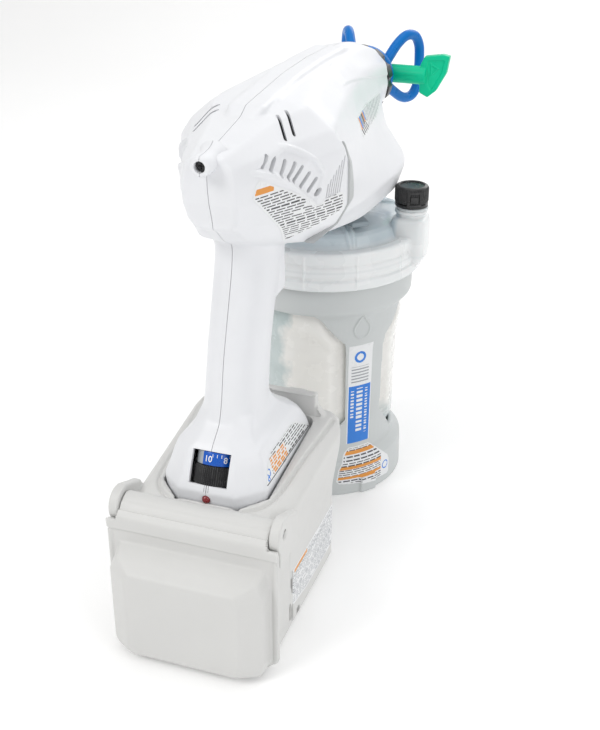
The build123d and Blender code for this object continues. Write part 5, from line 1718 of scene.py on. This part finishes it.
def strip_col(a, b2):
    a /= K
    u = (a + 53.4) / 20.8
    if b2 > 84:
        if abs(b2 - 106) < 5.2 and 0.2 < u < 0.74:
            r = math.hypot((u - 0.47) * 18.7, b2 - 106)
            return 4 if 2.6 < r < 4.4 else 0
        if 86.5 < b2 < 99:
            k = math.floor((b2 - 86.5) / 2.4)
            return 2 if (b2 - 86.5) / 2.4 - k < 0.42 and 0.12 < u < 0.86 else 0
        return 0
    if u < 0.03 or u > 0.97:
        return 0
    if 0.36 < u < 0.62 and 46 < b2 < 82 and words(b2, 7, 3.4, 0.9):
        return 0
    if (0.72 < u < 0.84 and 44 < b2 < 81 and words(b2, 3, 2.2, 0.8)) or (0.12 < u < 0.25 and 58 < b2 < 80 and words(b2, 5, 2.6, 0.8)):
        return 0
    return 4


decal("plate_strip", "cup", bvh_of("cup_support_skin"), strip_poly, lambda a, b2: radial(a / K, b2), strip_col)

base_poly = [(-51.5, 34.5), (-33.0, 34.5), (-29.5, 32.5), (-17.0, 20.5), (-15.2, 16.5), (-15.6, 6.4), (-17.5, 5.4), (-60.5, 9.2), (-62.5, 11.5),
             (-61, 21.0), (-57.0, 29.0)]


def base_col(a, b2):
    if edge_dist(a, b2, base_poly) < 0.9:
        return 0
    if math.hypot((a + 20.2), b2 - 14.2) < 3.4 and math.hypot((a + 20.2), b2 - 14.2) > 2.5:
        return 4
    if a > -25:
        return 0
    for c in (30.6, 21.6, 13.6):
        if abs(b2 - c - (a + 45) * 0.0) < 1.15:
            return 3 if words(a, int(c), 9, 0.6) or True else 0
    k = math.floor((b2 - 5) / 1.75)
    f = (b2 - 5) / 1.75 - k
    return 1 if 0.22 < f < 0.64 and words(a, k, 6.0, 0.6) else 0


decal("plate_cup_foot", "cup", bvh_of("cup_support_skin"), base_poly, lambda a, b2: radial(a, b2), base_col)


# ------------------------------------------------------------------ stage
def build_stage():
    sc = bpy.context.scene
    me = bpy.data.meshes.new("floor")
    bm = bmesh.new()
    # a swept floor: flat near the object, curving up behind it
    prof = [(-2.2, 0.0), (1.1, 0.0)]
    for i in range(1, 17):
        t = math.radians(90 * i / 16)
        prof.append((1.1 + 0.9 * math.sin(t), 0.9 - 0.9 * math.cos(t)))
    prof.append((2.0, 3.0))
    rows = []
    for x in (-3.5, 3.5):
        rows.append([bm.verts.new((x, y, z)) for y, z in prof])
    for a, b2 in zip(range(len(prof) - 1), range(1, len(prof))):
        bm.faces.new((rows[0][a], rows[1][a], rows[1][b2], rows[0][b2]))
    bm.to_mesh(me)
    bm.free()
    fl = link(bpy.data.objects.new("floor", me))
    me.shade_smooth()
    m, nt, b, out = new_mat("floor_pale")
    vec = coords(nt)
    f = noise_tex(nt, vec, 6, 3)
    nt.links.new(mix_col(nt, f, (0.93, 0.93, 0.93), (0.96, 0.96, 0.96)), b.inputs["Base Color"])
    b.inputs["Roughness"].default_value = 0.55
    b.inputs["Specular IOR Level"].default_value = 0.25
    b.inputs["Emission Color"].default_value = (1, 1, 1, 1)
    b.inputs["Emission Strength"].default_value = 0.1
    me.materials.append(m)

    def area(name, loc, look, size, power, col=(1, 1, 1)):
        l = bpy.data.lights.new(name, "AREA")
        l.shape = "RECTANGLE"
        l.size, l.size_y = size
        l.energy = power
        l.color = col
        o = link(bpy.data.objects.new(name, l))
        o.location = loc
        d = Vector(look) - Vector(loc)
        o.rotation_euler = d.to_track_quat("-Z", "Y").to_euler()
        return o

    area("key", (-0.9, -1.1, 1.5), (0, 0.1, 0.12), (0.9, 0.9), 13, (1, 0.99, 0.97))
    area("fill", (1.5, -0.6, 0.9), (0, 0.1, 0.12), (1.1, 1.1), 6.6, (1, 1, 1))
    area("top", (0.1, 0.2, 1.7), (0, 0.1, 0.1), (1.2, 1.2), 5.4)
    area("back", (0.3, 1.5, 1.0), (0, 0.1, 0.2), (1.2, 0.7), 5)
    w = bpy.data.worlds.new("studio")
    w.use_nodes = True
    w.node_tree.nodes["Background"].inputs[0].default_value = (1.0, 1.0, 1.0, 1)
    w.node_tree.nodes["Background"].inputs[1].default_value = 0.55
    sc.world = w
    cam = bpy.data.cameras.new("cam")
    cam.lens = 57.0
    cam.sensor_width = 36.0
    cam.sensor_fit = "AUTO"
    co = link(bpy.data.objects.new("cam", cam))
    co.location = (0.2328, -0.5424, 0.4589)
    co.rotation_euler = (math.radians(63), 0, math.radians(19.4))
    sc.camera = co
    sc.view_settings.view_transform = "Standard"


build_stage()
